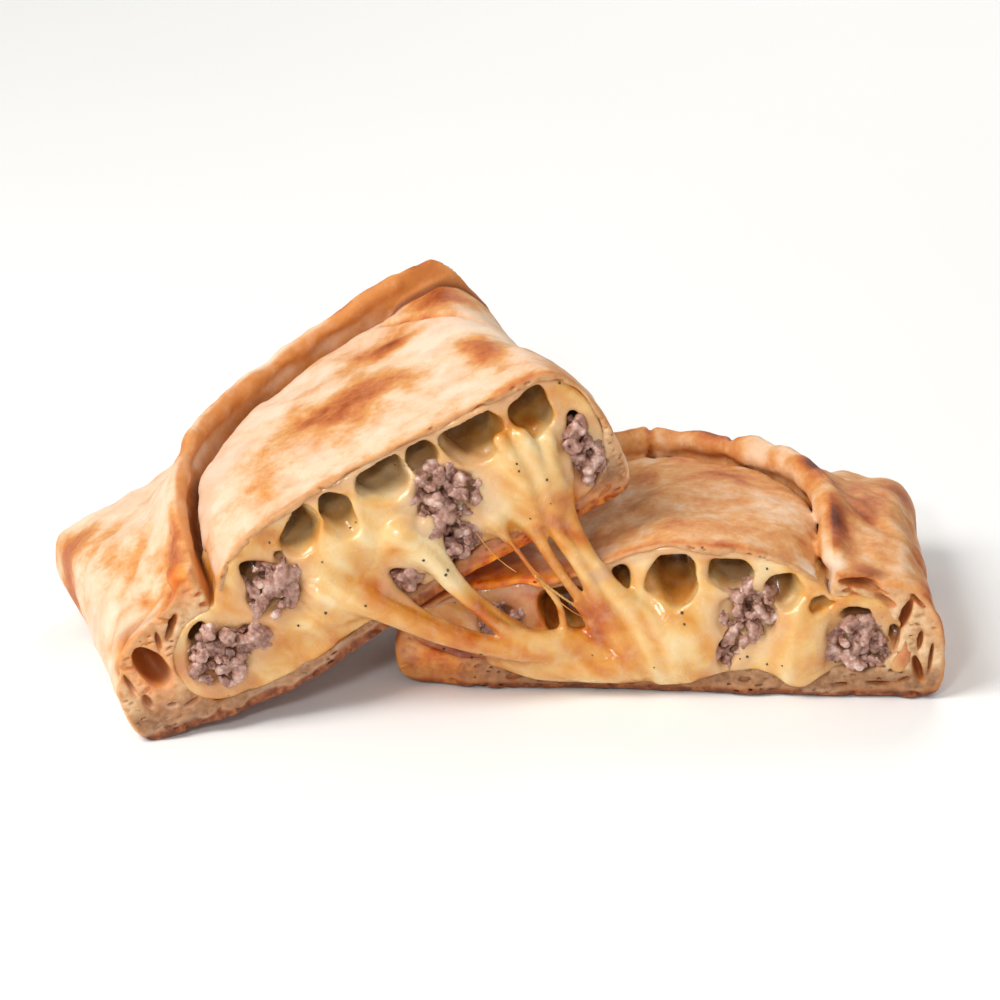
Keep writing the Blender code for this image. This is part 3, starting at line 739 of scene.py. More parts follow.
# %% Build both crusts
crusts = {}
for name, (half, pose) in HALVES.items():
    field, axes = dough_field(name, half)
    points, faces = surface(field, axes)
    if name == "flat":
        faces = faces[:, ::-1]
    crust = mesh_object(f"{name}_dough", points, faces)
    whole = count_triangles(crust)
    thin_out(crust, MOST_TRIANGLES)
    points = points_of(crust)
    paint_skin(crust, name, half, points)
    paint_crumb(crust, name, half, points)
    move_points(crust, inside_cad(to_object(pose, points)))
    crusts[name] = crust
    print(name, "dough:", whole, "triangles, thinned to", count_triangles(crust))

# %% [markdown]
# ## Melted cheese
#
# The filling fills both rooms up to the cut. Steam left hollows under the roof, with thin columns
# between them. Where the halves were pulled apart, ropes hang from one to the other and pool on the
# lower one. Metaballs could make the ropes, but not the walls of the room, so this is a field too. A
# rope is a chain of tapering segments, and every blend between two forms is smooth.

# %% Cheese settings
# Hollows, each (x, z, radius along x, radius along z, depth) at the cut face
HOLLOWS = {
    "leaning": [
        (49.4, 30.6, 5.4, 6.4, 12), (36.0, 31.4, 6.5, 6.6, 13), (23.8, 32.6, 4.9, 4.9, 10),
        (12.8, 31.8, 6.0, 6.2, 11), (0.9, 30.2, 4.1, 5.8, 10), (-8.6, 29.2, 4.8, 5.4, 10),
        (-21.6, 24.8, 3.2, 5.2, 8), (-38.4, 16.6, 2.6, 3.2, 9), (57.8, 21.5, 2.7, 4.2, 8),
        (-15.0, 26.6, 1.6, 2.4, 6), (30.2, 33.6, 0.9, 1.8, 5),
    ],
    "flat": [
        (10.4, 27.2, 3.7, 4.4, 8), (-1.7, 28.6, 5.9, 5.9, 12), (-14.1, 30.6, 5.3, 4.6, 11),
        (-26.6, 27.4, 4.6, 4.4, 8), (21.7, 19.4, 7.0, 6.6, 10), (-44.0, 21.8, 3.4, 2.9, 9),
        (-51.0, 15.5, 1.9, 3.6, 6), (-35.0, 23.6, 2.2, 2.2, 5),
    ],
}
# Meat, each (x, z, radius along x, radius along z)
MEAT = {
    "leaning": [
        (-36.2, 10.2, 7.4, 7.2), (-19.4, 19.8, 6.4, 6.2), (-28.9, 11.0, 2.6, 3.6),
        (24.4, 20.4, 9.0, 7.8), (22.4, 8.2, 4.6, 5.6), (8.3, 6.6, 3.2, 4.6), (56.6, 14.5, 3.6, 9.0),
    ],
    "flat": [
        (-44.2, 12.4, 7.0, 7.8), (-18.6, 20.4, 6.4, 6.4), (-14.0, 11.5, 3.4, 3.8),
        (37.6, 16.6, 5.2, 5.4),
    ],
}
# Swellings of the cheese, each (x, z, radius along x, radius along z, how far it stands out)
LOBES = {
    "leaning": [
        (42, 14, 8.5, 11, 3.4), (-6, 8.5, 9, 5, 3), (11, 13.5, 5.5, 7, 2.6), (-2, 19, 7, 5, 1.6),
    ],
    "flat": [
        (-1.0, 12.6, 14.5, 10.0, 4.4), (-30.3, 13.6, 7.0, 11.0, 3.6), (24, 7.6, 11, 4.6, 3.0),
        (-53.0, 11.6, 3.2, 4.6, 1.2), (-9, 24, 5, 5, 1.0), (10.5, 8.2, 6, 4.6, 3.4),
    ],
}
# Ropes and threads, each through rows of (x, y, z, radius) in the object's frame
ROPES = {
    "main_left": [
        (6.7, -25.0, 48.3, 2.6), (10.8, -26.6, 38.7, 1.5), (15.3, -27.3, 31.1, 1.2),
        (20.4, -27.3, 23.1, 1.3), (24.6, -26.5, 13.6, 2.0), (28.1, -25.8, 8.2, 3.0),
    ],
    "main_mid": [
        (11.9, -23.5, 54.5, 3.2), (14.4, -25.9, 42.1, 2.0), (19.4, -27.0, 33.4, 1.6),
        (24.0, -27.2, 24.5, 1.9), (29.6, -26.5, 14.9, 3.2), (34.9, -25.7, 9.4, 4.5),
    ],
    "main_right": [
        (15.3, -22.5, 56.5, 2.4), (15.7, -24.2, 47.5, 1.3), (19.8, -25.7, 38.3, 1.1),
        (25.3, -26.5, 29.9, 1.5), (32.2, -26.5, 21.2, 2.6), (39.4, -26.0, 13.4, 4.0),
    ],
    "thin": [
        (16.0, -22.5, 53.1, 1.6), (17.8, -24.4, 45.1, 0.8), (21.2, -25.7, 37.1, 0.62),
        (24.9, -26.1, 29.7, 0.7), (29.5, -25.9, 22.4, 1.6),
    ],
    "web": [
        (0.0, -27.3, 43.9, 2.4), (2.5, -27.8, 40.5, 1.0), (5.9, -28.2, 36.5, 0.7),
        (10.4, -28.3, 30.0, 0.65), (14.9, -27.7, 23.7, 0.8), (16.8, -26.4, 15.6, 1.1),
        (18.9, -25.2, 9.9, 2.0),
    ],
    "fork": [
        (9.9, -33.5, 33.0, 0.65), (13.5, -32.0, 28.8, 0.45), (19.4, -29.2, 23.0, 0.45),
        (25.0, -26.1, 18.0, 0.9),
    ],
    "band_a": [
        (-20.5, -33.3, 43.0, 4.5), (-13.9, -34.0, 37.6, 2.7), (-9.0, -34.1, 31.0, 1.8),
        (-3.2, -33.4, 24.5, 1.4), (3.6, -31.7, 18.1, 1.6), (12.0, -28.9, 14.8, 2.3),
        (21.2, -25.4, 13.1, 3.0),
    ],
    "band_a_edge": [
        (-14.5, -31.7, 44.7, 2.5), (-11.4, -32.8, 38.6, 1.2), (-6.7, -33.0, 31.2, 0.9),
        (-0.5, -30.9, 24.0, 0.9), (6.8, -27.0, 16.4, 1.4),
    ],
    "band_b": [
        (-38.4, -38.7, 31.9, 4.2), (-28.4, -38.3, 28.8, 3.3), (-19.5, -37.5, 24.0, 2.6),
        (-10.6, -36.1, 19.3, 2.2), (-0.5, -33.7, 15.3, 2.3), (10.9, -30.1, 12.8, 2.9),
        (22.3, -26.0, 11.6, 3.4),
    ],
    "band_b_edge": [
        (-24.0, -34.5, 30.0, 2.4), (-17.3, -34.6, 25.0, 1.3), (-9.5, -33.8, 20.2, 1.1),
        (1.8, -30.6, 14.9, 1.3), (13.2, -25.9, 12.5, 2.0),
    ],
    "pool": [
        (0.7, -25.6, 9.4, 2.2), (9.8, -26.7, 8.1, 3.4), (20.1, -27.0, 7.8, 3.8),
        (30.3, -26.4, 8.0, 4.2),
    ],
    "ridge_light_shade_1": [
        (1.8, -27.7, 63.6, 1.6), (5.1, -28.0, 57.7, 1.3), (8.1, -27.9, 51.1, 1.3),
        (10.3, -27.2, 43.9, 1.3),
    ],
    "ridge_light_shade_2": [
        (6.7, -26.2, 64.0, 1.6), (9.6, -26.7, 57.9, 1.4), (12.1, -26.7, 51.0, 1.3),
        (13.5, -26.2, 44.7, 1.3),
    ],
    "ridge_light_shade_3": [
        (12.5, -24.4, 62.2, 1.6), (13.4, -25.3, 57.3, 1.3), (14.6, -25.7, 51.8, 1.1),
        (15.3, -25.5, 46.8, 1.1),
    ],
}
HAIRS = {
    "hair_1": [
        (-3.6, -28.7, 41.4, 0.5), (0.9, -32.1, 38.0, 0.28), (5.4, -35.5, 34.9, 0.22),
    ],
    "hair_2": [
        (15.3, -32.5, 26.0, 0.4), (19.9, -29.7, 22.2, 0.25), (25.2, -26.6, 18.2, 0.4),
    ],
    "hair_3": [
        (-15.0, -35.3, 25.9, 0.4), (-6.1, -31.4, 20.0, 0.25), (3.4, -27.3, 13.7, 0.4),
    ],
    "hair_4": [
        (2.9, -27.8, 40.9, 0.5), (7.2, -30.5, 36.5, 0.28), (11.9, -32.5, 31.5, 0.3),
    ],
    "hair_5": [
        (16.7, -23.1, 47.0, 0.5), (22.1, -26.1, 35.5, 0.24), (27.2, -26.8, 24.8, 0.4),
    ],
}


def curve_through(rows, count):
    """Even points on a smooth (Catmull-Rom) curve through rows of a place and a radius."""
    table = np.array(rows, dtype=float)
    padded = np.vstack([2 * table[0] - table[1], table, 2 * table[-1] - table[-2]])
    result = []
    for u in np.linspace(0, len(table) - 1, count):
        i = min(int(u), len(table) - 2)
        t = u - i
        a, b, c, d = padded[i : i + 4]
        bend, sway = 2 * a - 5 * b + 4 * c - d, 3 * b - a - 3 * c + d
        result.append(0.5 * (2 * b + (c - a) * t + bend * t**2 + sway * t**3))
    return np.array(result)


def own_grid(pose, axes):
    """The part of a grid that lies around a half's filling, and the half's own coordinates there."""
    corners = np.array([[x, y, z] for x in (-66, 68) for y in (-6, 22) for z in (-4, 44)])
    reach = to_object(pose, corners)
    spans = [slice(*np.searchsorted(axes[a], [reach[:, a].min(), reach[:, a].max()])) for a in range(3)]
    sub_axes = [axes[a][spans[a]] for a in range(3)]
    grid = np.meshgrid(*(a.astype(np.float32) for a in sub_axes), indexing="ij", sparse=True)
    shifted = [grid[a] - np.float32(pose[1][a]) for a in range(3)]
    turn = pose[0].astype(np.float32)
    own = [sum(turn[a, b] * shifted[a] for a in range(3)) for b in range(3)]
    return spans, sub_axes, own


def filling(name, axes, seed):
    """The cheese inside one half, on the part of the grid around it."""
    half, pose = HALVES[name]
    spans, sub_axes, (x, y, z) = own_grid(pose, axes)
    form = chamber_form(half, x, y, z)
    room = form / np.clip(steepness(form, sub_axes), 0.02, 10) - 0.9
    front = 0.45 * noise_grid(seed, 6, sub_axes) + 0.16 * noise_grid(seed + 1, 2.4, sub_axes) + 0.2 - y
    body = smooth_max(smooth_max(room, front, 1.2), y - 18, 2)
    for lx, lz, rx, rz, out in LOBES[name]:
        lobe = (np.sqrt(((x - lx) / rx) ** 2 + (y / out) ** 2 + ((z - lz) / rz) ** 2) - 1) * out
        body = smooth_min(body, smooth_max(lobe, y - 1.5, 1), 2.4)
    bent_x = x + 0.75 * noise_grid(seed + 2, 4.5, sub_axes) + 0.2 * noise_grid(seed + 3, 2, sub_axes)
    bent_z = z + 0.7 * noise_grid(seed + 4, 4.5, sub_axes) + 0.2 * noise_grid(seed + 5, 2, sub_axes)
    for mx, mz, rx, rz in MEAT[name]:
        far = np.sqrt(((bent_x - mx) / (0.9 * rx)) ** 2 + (y / 3.4) ** 2 + ((bent_z - mz) / (0.9 * rz)) ** 2)
        body = smooth_max(body, -(far - 1) * 3.0, 1.6)
    lid = chamber_lid(half, x, y)
    for hx, hz, rx, rz, deep in HOLLOWS[name]:
        u, v = (bent_x - hx) / rx, (bent_z - hz) / rz
        back = np.maximum(y + 1, 0) / (deep * (1 + 0.35 * np.clip(v, -0.9, 1)))
        hole = (np.sqrt(u**2 + back**2 + v**2) - 1) * min(rx, rz)
        body = smooth_max(body, -smooth_max(hole, z - lid + 0.55, 0.5), 0.8)
    return spans, body.astype(np.float32)


def cheese_field():
    axes = [
        spaced((-94.5, 96.5, 0.56)),
        spaced((-54.5, -20, 0.56), (-20, 6.5, 0.7)),
        spaced((0.6, 78.6, 0.56)),
    ]
    field = np.full([len(a) for a in axes], 9.0, dtype=np.float32)
    for name, seed in (("leaning", 80), ("flat", 90)):
        spans, body = filling(name, axes, seed)
        field[tuple(spans)] = np.minimum(field[tuple(spans)], body)
    for rows in ROPES.values():
        stamp_rope(field, axes, curve_through(rows, 30), 2.0)
    return seal(field), axes


# Where the cheese is deeper in colour, each (x, z, radii, strength) in the object's frame
AMBER = [
    (14, 28, 12, 12, 0.2), (26, 17, 9, 8, 0.14), (2, 22, 14, 8, 0.2), (-12, 8, 14, 5, 0.6),
    (8, 12, 14, 7, 0.2), (-22, 31, 12, 5, 0.1), (20, 46, 8, 8, 0.12), (93, 12, 4, 5, 0.3),
    (-30, 44, 14, 5, -0.1), (69, 13, 10, 13, -0.3), (58, 20, 9, 9, -0.12),
]


def paint_cheese(obj, points):
    """Masks of the cheese: painted shade in the hollows, its depth of colour, and juice near the meat."""
    # Painted shade in the hollows, darkest towards their tops.
    deep = np.zeros(len(points))
    for name, hollows in HOLLOWS.items():
        x, y, z = to_half(HALVES[name][1], points)
        for hx, hz, rx, rz, reach in hollows:
            near = np.exp(-(((x - hx) / (rx + 1.2)) ** 6) - ((z - hz) / (rz + 1.2)) ** 6)
            high = 0.45 + 0.55 * ease((z - hz + 0.7 * rz) / (1.2 * rz))
            deep = np.maximum(deep, near * ease((y - 1.0) / 4) * (y < reach + 3) * high)
    add_mask(obj, "hollow", deep)
    amber = 0.3 + 0.1 * noise_at(75, 9, points) + 0.06 * noise_at(76, 3, points)
    for gx, gz, rx, rz, strength in AMBER:
        amber += strength * np.exp(-(((points[:, 0] - gx) / rx) ** 2) - ((points[:, 2] - gz) / rz) ** 2)
    add_mask(obj, "amber", amber)
    film = np.zeros(len(points))
    for name, edge in (("leaning", 2.2), ("flat", 1.6)):
        half, pose = HALVES[name]
        x, y, z = to_half(pose, points)
        lid = dome(half, x, y) - ROOF_CRUST
        near_lid = (1 - ease((lid - z - 1) / edge)) * (z < lid + 2)
        film = np.maximum(film, near_lid * (y > -3) * (np.abs(x) < 62))
    for name, clusters in MEAT.items():
        x, y, z = to_half(HALVES[name][1], points)
        for cx, cz, rx, rz in clusters:
            near = np.hypot((x - cx) / (rx + 2.5), (z - cz) / (rz + 2.5))
            film = np.maximum(film, 0.8 * (1 - ease((near - 0.8) / 0.5)) * (y > -3) * (y < 20))
    add_mask(obj, "film", film)


def pull_streaks(obj, points):
    """Fine ridges along the pull: a noise that is drawn out down the slope of the ropes."""
    x, y, z = points.T
    lean = 0.9 * (1 - ease((x - 25) / 25))
    along, across = x * np.sin(lean) - z * np.cos(lean), x * np.cos(lean) + z * np.sin(lean)
    drawn = np.column_stack([along * 0.16, y, across])
    ridges = 0.65 * noise_at(77, 1.5, drawn) + 0.45 * noise_at(78, 3.2, drawn)
    normals = normals_of(obj)
    front = ease((-normals[:, 1] - 0.1) / 0.5)
    move_points(obj, points + normals * (0.16 * ridges * front)[:, None])
    # Painted highlight and shade: the same noise makes the ridges paler and the furrows darker.
    add_mask(obj, "ridge_light_shade", 0.5 + 0.25 * ridges)


# %% Build the cheese
field, axes = cheese_field()
points, faces = surface(field, axes)
cheese = mesh_object("cheese", points, faces)
whole = count_triangles(cheese)
thin_out(cheese, MOST_TRIANGLES)
paint_cheese(cheese, points_of(cheese))
pull_streaks(cheese, points_of(cheese))
move_points(cheese, inside_cad(points_of(cheese)))
print("cheese:", whole, "triangles, thinned to", count_triangles(cheese))

# %% [markdown]
# ## Minced beef
#
# Minced beef cooks into lumps of 2 to 5 mm that stick together. They could be sculpted one by one,
# but they repeat, so a Geometry Nodes group sets a lump on every point of a cluster, turns and sizes
# it at random, and pushes its surface in and out with noise. No two crumbs are alike.

# %% Node helpers
def colour(code):
    """A linear colour from an sRGB hex code."""
    parts = [int(code[i : i + 2], 16) / 255 for i in (1, 3, 5)]
    return (*[c / 12.92 if c <= 0.04045 else ((c + 0.055) / 1.055) ** 2.4 for c in parts], 1.0)


def plug(tree, node, inputs):
    """Fill a node's inputs, by name or number, from values, hex codes, sockets or other nodes."""
    for key, value in inputs.items():
        if isinstance(value, bpy.types.Node):
            value = next(socket for socket in value.outputs if socket.enabled)
        if isinstance(value, bpy.types.NodeSocket):
            tree.links.new(value, node.inputs[key])
        elif isinstance(value, str) and value.startswith("#"):
            node.inputs[key].default_value = colour(value)
        else:
            node.inputs[key].default_value = value


def add(tree, kind, inputs=None, stops=(), **settings):
    """Add a node with its inputs, its settings and, on a colour ramp, its (position, hex code) stops."""
    node = tree.nodes.new(kind)
    for key, value in settings.items():
        setattr(node, key, value)
    plug(tree, node, inputs or {})
    for index, (position, code) in enumerate(stops):
        elements = node.color_ramp.elements
        element = elements[index] if index < 2 else elements.new(position)
        element.position, element.color = position, colour(code)
    return node


def new_group(name, sockets):
    """A geometry node group with named inputs, its input node and its output node."""
    group = bpy.data.node_groups.new(name, "GeometryNodeTree")
    group.interface.new_socket("Geometry", in_out="INPUT", socket_type="NodeSocketGeometry")
    for title, kind, default in sockets:
        socket = group.interface.new_socket(title, in_out="INPUT", socket_type=kind)
        socket.default_value = default
    group.interface.new_socket("Geometry", in_out="OUTPUT", socket_type="NodeSocketGeometry")
    return group, group.nodes.new("NodeGroupInput"), group.nodes.new("NodeGroupOutput")


def run_group(obj, group, **values):
    """Run a group on an object with its inputs set, and keep the result as a plain mesh."""
    modifier = obj.modifiers.new(group.name, "NODES")
    modifier.node_group = group
    for item in group.interface.items_tree:
        key = item.name.replace(" ", "_").lower()
        if item.in_out == "INPUT" and key in values:
            modifier[item.identifier] = values[key]
    bake_modifiers(obj)


def point_cloud(name, points, sizes):
    """An object of loose points in millimetres, each with a size."""
    mesh = bpy.data.meshes.new(name)
    mesh.from_pydata([tuple(p) for p in np.asarray(points) * 0.001], [], [])
    layer = mesh.attributes.new("size", "FLOAT", "POINT")
    layer.data.foreach_set("value", np.asarray(sizes, dtype=np.float32))
    obj = bpy.data.objects.new(name, mesh)
    scene.collection.objects.link(obj)
    return obj


# %% Crumbs
def crumb_group(material):
    group, inside, outside = new_group(
        "crumbs of mince",
        [("Detail", "NodeSocketInt", 4), ("Lumpiness", "NodeSocketFloat", 0.4),
         ("Seed", "NodeSocketInt", 1), ("Material", "NodeSocketMaterial", material)],
    )
    given = inside.outputs
    ball = add(group, "GeometryNodeMeshIcoSphere", {"Radius": 0.001, "Subdivisions": given["Detail"]})
    size = add(group, "GeometryNodeInputNamedAttribute", {"Name": "size"}, data_type="FLOAT")
    turn, squash = (
        add(group, "FunctionNodeRandomValue", {0: [low] * 3, 1: [high] * 3, "Seed": given["Seed"]},
            data_type="FLOAT_VECTOR")
        for low, high in ((0, 6.28), (0.65, 1.35))
    )
    scale = add(group, "ShaderNodeVectorMath", {"Vector": squash, "Scale": size}, operation="SCALE")
    spread = add(group, "GeometryNodeInstanceOnPoints",
                 {"Points": given["Geometry"], "Instance": ball, "Rotation": turn, "Scale": scale})
    real = add(group, "GeometryNodeRealizeInstances", {"Geometry": spread})
    lumps = add(group, "ShaderNodeTexNoise",
                {"Scale": 380.0, "Detail": 2.0, "Roughness": 0.5, "Distortion": 0.2})
    level = add(group, "ShaderNodeMath", {0: lumps, 1: 0.5}, operation="SUBTRACT")
    amount = add(group, "ShaderNodeMath", {0: level, 1: given["Lumpiness"]}, operation="MULTIPLY")
    push = add(group, "ShaderNodeMath", {0: amount, 1: 0.008}, operation="MULTIPLY")
    normal = add(group, "GeometryNodeInputNormal")
    offset = add(group, "ShaderNodeVectorMath", {"Vector": normal, "Scale": push}, operation="SCALE")
    shaped = add(group, "GeometryNodeSetPosition", {"Geometry": real, "Offset": offset})
    smooth = add(group, "GeometryNodeSetShadeSmooth", {"Geometry": shaped})
    dressed = add(group, "GeometryNodeSetMaterial", {"Geometry": smooth, "Material": given["Material"]})
    plug(group, outside, {0: dressed})
    return group


CRUMBS_PER_AREA = 0.55  # for each square millimetre of a cluster's half-axes
CLOSEST = 0.74  # of two crumbs' radii together


def cluster_points(clusters, half, pose, rng):
    """Crumbs packed into each cluster's oval: the biggest first, none closer than it may be."""
    points, sizes = [], []
    for cx, cz, rx, rz in clusters:
        placed = []
        wanted = int(rx * rz * CRUMBS_PER_AREA) + 3
        for attempt in range(4000):
            if len(placed) >= wanted:
                break
            radius = rng.uniform(1.3, 2.6) if attempt < 50 else rng.uniform(0.8, 1.6)
            angle, reach = rng.uniform(0, 2 * math.pi), math.sqrt(rng.random())
            x, z = cx + reach * math.cos(angle) * (rx + 0.2), cz + reach * math.sin(angle) * (rz + 0.2)
            y = rng.uniform(-0.9, 2.0) + 1.6 * reach**3
            spot = np.array([x, y, z])
            above_base = z > half["base_crust"] + base_height(half, x) + 1.2
            if above_base and all(np.linalg.norm(spot - p) > CLOSEST * (radius + r) for p, r in placed):
                placed.append((spot, radius))
        points += [p for p, _ in placed]
        sizes += [r for _, r in placed]
    return to_object(pose, points), sizes


# %% [markdown]
# ## Materials
#
# Colours are hex values, and the size of every pattern is given in millimetres. The masks painted
# above steer the mixes, and noise breaks up their edges. Image textures could do the same, but nodes
# need no unwrapping and stay sharp at any distance.

# %% Material helpers
MATHS, RAMP, BUMP = "ShaderNodeMath", "ShaderNodeValToRGB", "ShaderNodeBump"


def new_material(name):
    material = bpy.data.materials.new(name)
    material.use_nodes = True
    return material, material.node_tree, material.node_tree.nodes["Principled BSDF"]


def patterns(tree, sizes):
    """Noise for each name, from its size in millimetres, detail, roughness and distortion."""
    spot = add(tree, "ShaderNodeTexCoord").outputs["Object"]
    made = {}
    for name, (size, detail, roughness, distortion) in sizes.items():
        inputs = {"Vector": spot, "Scale": 1000 / size, "Detail": detail, "Roughness": roughness}
        made[name] = add(tree, "ShaderNodeTexNoise", {**inputs, "Distortion": distortion})
    return made


def painted(tree, *names):
    """The masks stored on the mesh, by name."""
    return {name: add(tree, "ShaderNodeAttribute", attribute_name=name).outputs["Fac"] for name in names}


def lay_over(tree, base, *layers):
    """Mix layers over a base in turn, each given as how much of it and its colour."""
    for amount, tone in layers:
        base = add(tree, "ShaderNodeMix", {0: amount, 6: base, 7: tone}, data_type="RGBA").outputs[2]
    return base


# %% Dough material
DOUGH_PATTERNS = {
    "patches": (7, 5, 0.62, 0), "speckles": (1.5, 4, 0.6, 0), "ruddy": (14, 3, 0.55, 0),
    "wall": (4, 4, 0.55, 0), "flour": (3.2, 4, 0.65, 0), "seared": (3.0, 5, 0.65, 0),
    "pale": (2.2, 5, 0.6, 0), "dull": (1.8, 5, 0.65, 0), "toast": (8, 2, 0.55, 0),
    "glow": (4, 3, 0.55, 0), "glow_noise": (3, 3, 0.55, 0), "pits": (0.7, 4, 0.6, 0), "ripples": (2.4, 4, 0.6, 0),
}
SKIN = [(0.0, "#efd5ba"), (0.2, "#ebc49e"), (0.4, "#db9a58"), (0.58, "#c6723a"), (0.76, "#a4501f"),
        (1.0, "#63290e")]
SEARED = [(0.32, "#451a0c"), (0.5, "#7a3719"), (0.7, "#b8763f")]
PALE_CRUMB = [(0.3, "#b48659"), (0.48, "#d9b184"), (0.72, "#ecd3ac")]
DULL_CRUMB = [(0.3, "#3e2018"), (0.46, "#754d35"), (0.7, "#ad8564")]
# Colours of the painted orange light from the cheese.
GLOW_TONES = [(0.35, "#dc5a06"), (0.6, "#ff9a1c")]


def skin_colour(tree, grain, masks, level):
    """Baked skin: browned, with ruddy patches, painted shade in the fold, dry flour and a seared base."""
    fresh = add(tree, MATHS, {0: 0.9, 1: level}, operation="SUBTRACT", use_clamp=True)
    patch = {}
    for name, gain, shift, most in (("ruddy", 3.0, -1.44, 0.45), ("flour", 4.0, -2.24, 0.35)):
        spots = {0: grain[name], 1: gain, 2: shift}
        spots = add(tree, MATHS, spots, operation="MULTIPLY_ADD", use_clamp=True)
        spots = add(tree, MATHS, {0: spots, 1: most}, operation="MULTIPLY")
        patch[name] = add(tree, MATHS, {0: spots, 1: fresh}, operation="MULTIPLY")
    # Painted shade of the fold: its inner side, and the dark line at its foot.
    pinch = add(tree, MATHS, {0: masks["pinch"], 1: 0.9}, operation="MULTIPLY")
    return lay_over(
        tree, add(tree, RAMP, {0: level}, SKIN),
        (patch["ruddy"], "#dc9a80"), (masks["wall"], "#d08542"), (pinch, "#6f3312"),
        (patch["flour"], "#f4e4cd"), (masks["under"], add(tree, RAMP, {0: grain["seared"]}, SEARED)),
    )


def crumb_colour(tree, grain, masks):
    """Open crumb: pale near the roof, duller and darker near the base, toasted under the skin."""
    low = add(tree, MATHS, {0: masks["low"], 1: 0.85}, operation="MULTIPLY")
    toast = add(tree, MATHS, {0: grain["toast"], 1: 0.5}, operation="MULTIPLY")
    rim = add(tree, MATHS, {0: masks["depth"], 1: -3.6, 2: 1.0}, operation="MULTIPLY_ADD", use_clamp=True)
    rim = add(tree, MATHS, {0: rim, 1: 0.8}, operation="MULTIPLY")
    return lay_over(
        tree, add(tree, RAMP, {0: grain["pale"]}, PALE_CRUMB),
        (low, add(tree, RAMP, {0: grain["dull"]}, DULL_CRUMB)), (toast, "#bb8154"), (rim, "#c98548"),
    )


def dough_material():
    """Oven-baked wheat dough: matt and slightly translucent, so it looks dry but soft."""
    material, tree, shader = new_material("baked wheat dough")
    grain = patterns(tree, DOUGH_PATTERNS)
    masks = painted(tree, "bake", "wall", "pinch", "under", "low", "depth", "crumb", "glow", "hidden")
    level = add(tree, MATHS, {0: grain["patches"], 1: 0.55, 2: masks["bake"]}, operation="MULTIPLY_ADD")
    level = add(tree, MATHS, {0: grain["speckles"], 1: 0.3, 2: level}, operation="MULTIPLY_ADD")
    level = add(tree, MATHS, {0: level, 1: 0.425}, operation="SUBTRACT", use_clamp=True)
    glow = masks["glow"]
    for name, lift in (("wall", 0.4), ("glow", 0.45)):
        uneven = add(tree, MATHS, {0: grain[name], 1: lift}, operation="ADD")
        masks[name] = add(tree, MATHS, {0: masks[name], 1: uneven}, operation="MULTIPLY", use_clamp=True)
    # Painted shade in the gaps between layers.
    hidden = add(tree, MATHS, {0: masks["hidden"], 1: 0.85}, operation="MULTIPLY")
    # Over the skin go the crumb, the painted orange light and the painted shade of the layer gaps.
    base = lay_over(
        tree, skin_colour(tree, grain, masks, level),
        (masks["crumb"], crumb_colour(tree, grain, masks)),
        (masks["glow"], add(tree, RAMP, {0: grain["glow_noise"]}, GLOW_TONES)), (hidden, "#8a3f0c"),
    )
    rough = add(tree, MATHS, {0: level, 1: -0.06, 2: 0.6}, operation="MULTIPLY_ADD")
    rough = add(tree, MATHS, {0: glow, 1: -0.25, 2: rough}, operation="MULTIPLY_ADD")
    pits = add(tree, BUMP, {"Height": grain["pits"], "Strength": 0.6, "Distance": 0.00012})
    relief = {"Height": grain["ripples"], "Strength": 0.6, "Distance": 0.00028, "Normal": pits}
    plug(tree, shader, {
        "Base Color": base, "Roughness": rough, "Normal": add(tree, BUMP, relief),
        "Subsurface Weight": 0.12, "Subsurface Radius": (1.0, 0.5, 0.25), "Subsurface Scale": 0.0022,
        "Specular IOR Level": 0.32,
    })
    return material


# %% Cheese material
CHEESE_PATTERNS = {
    "drift": (6, 3, 0.5, 0.8), "clouds": (3.5, 4, 0.6, 0), "hollow_shade_noise": (5, 3, 0.55, 0),
    "wet": (2.2, 3, 0.55, 0), "ripples": (1.4, 3, 0.5, 0.6),
}
BODY = [(0.0, "#ead09c"), (0.22, "#e3b56e"), (0.45, "#d6913a"), (0.7, "#c26414"), (1.0, "#9c3c08")]
# Colours of the painted shade in the hollows.
HOLLOW_SHADE_TONES = [(0.35, "#4c2206"), (0.65, "#875210")]


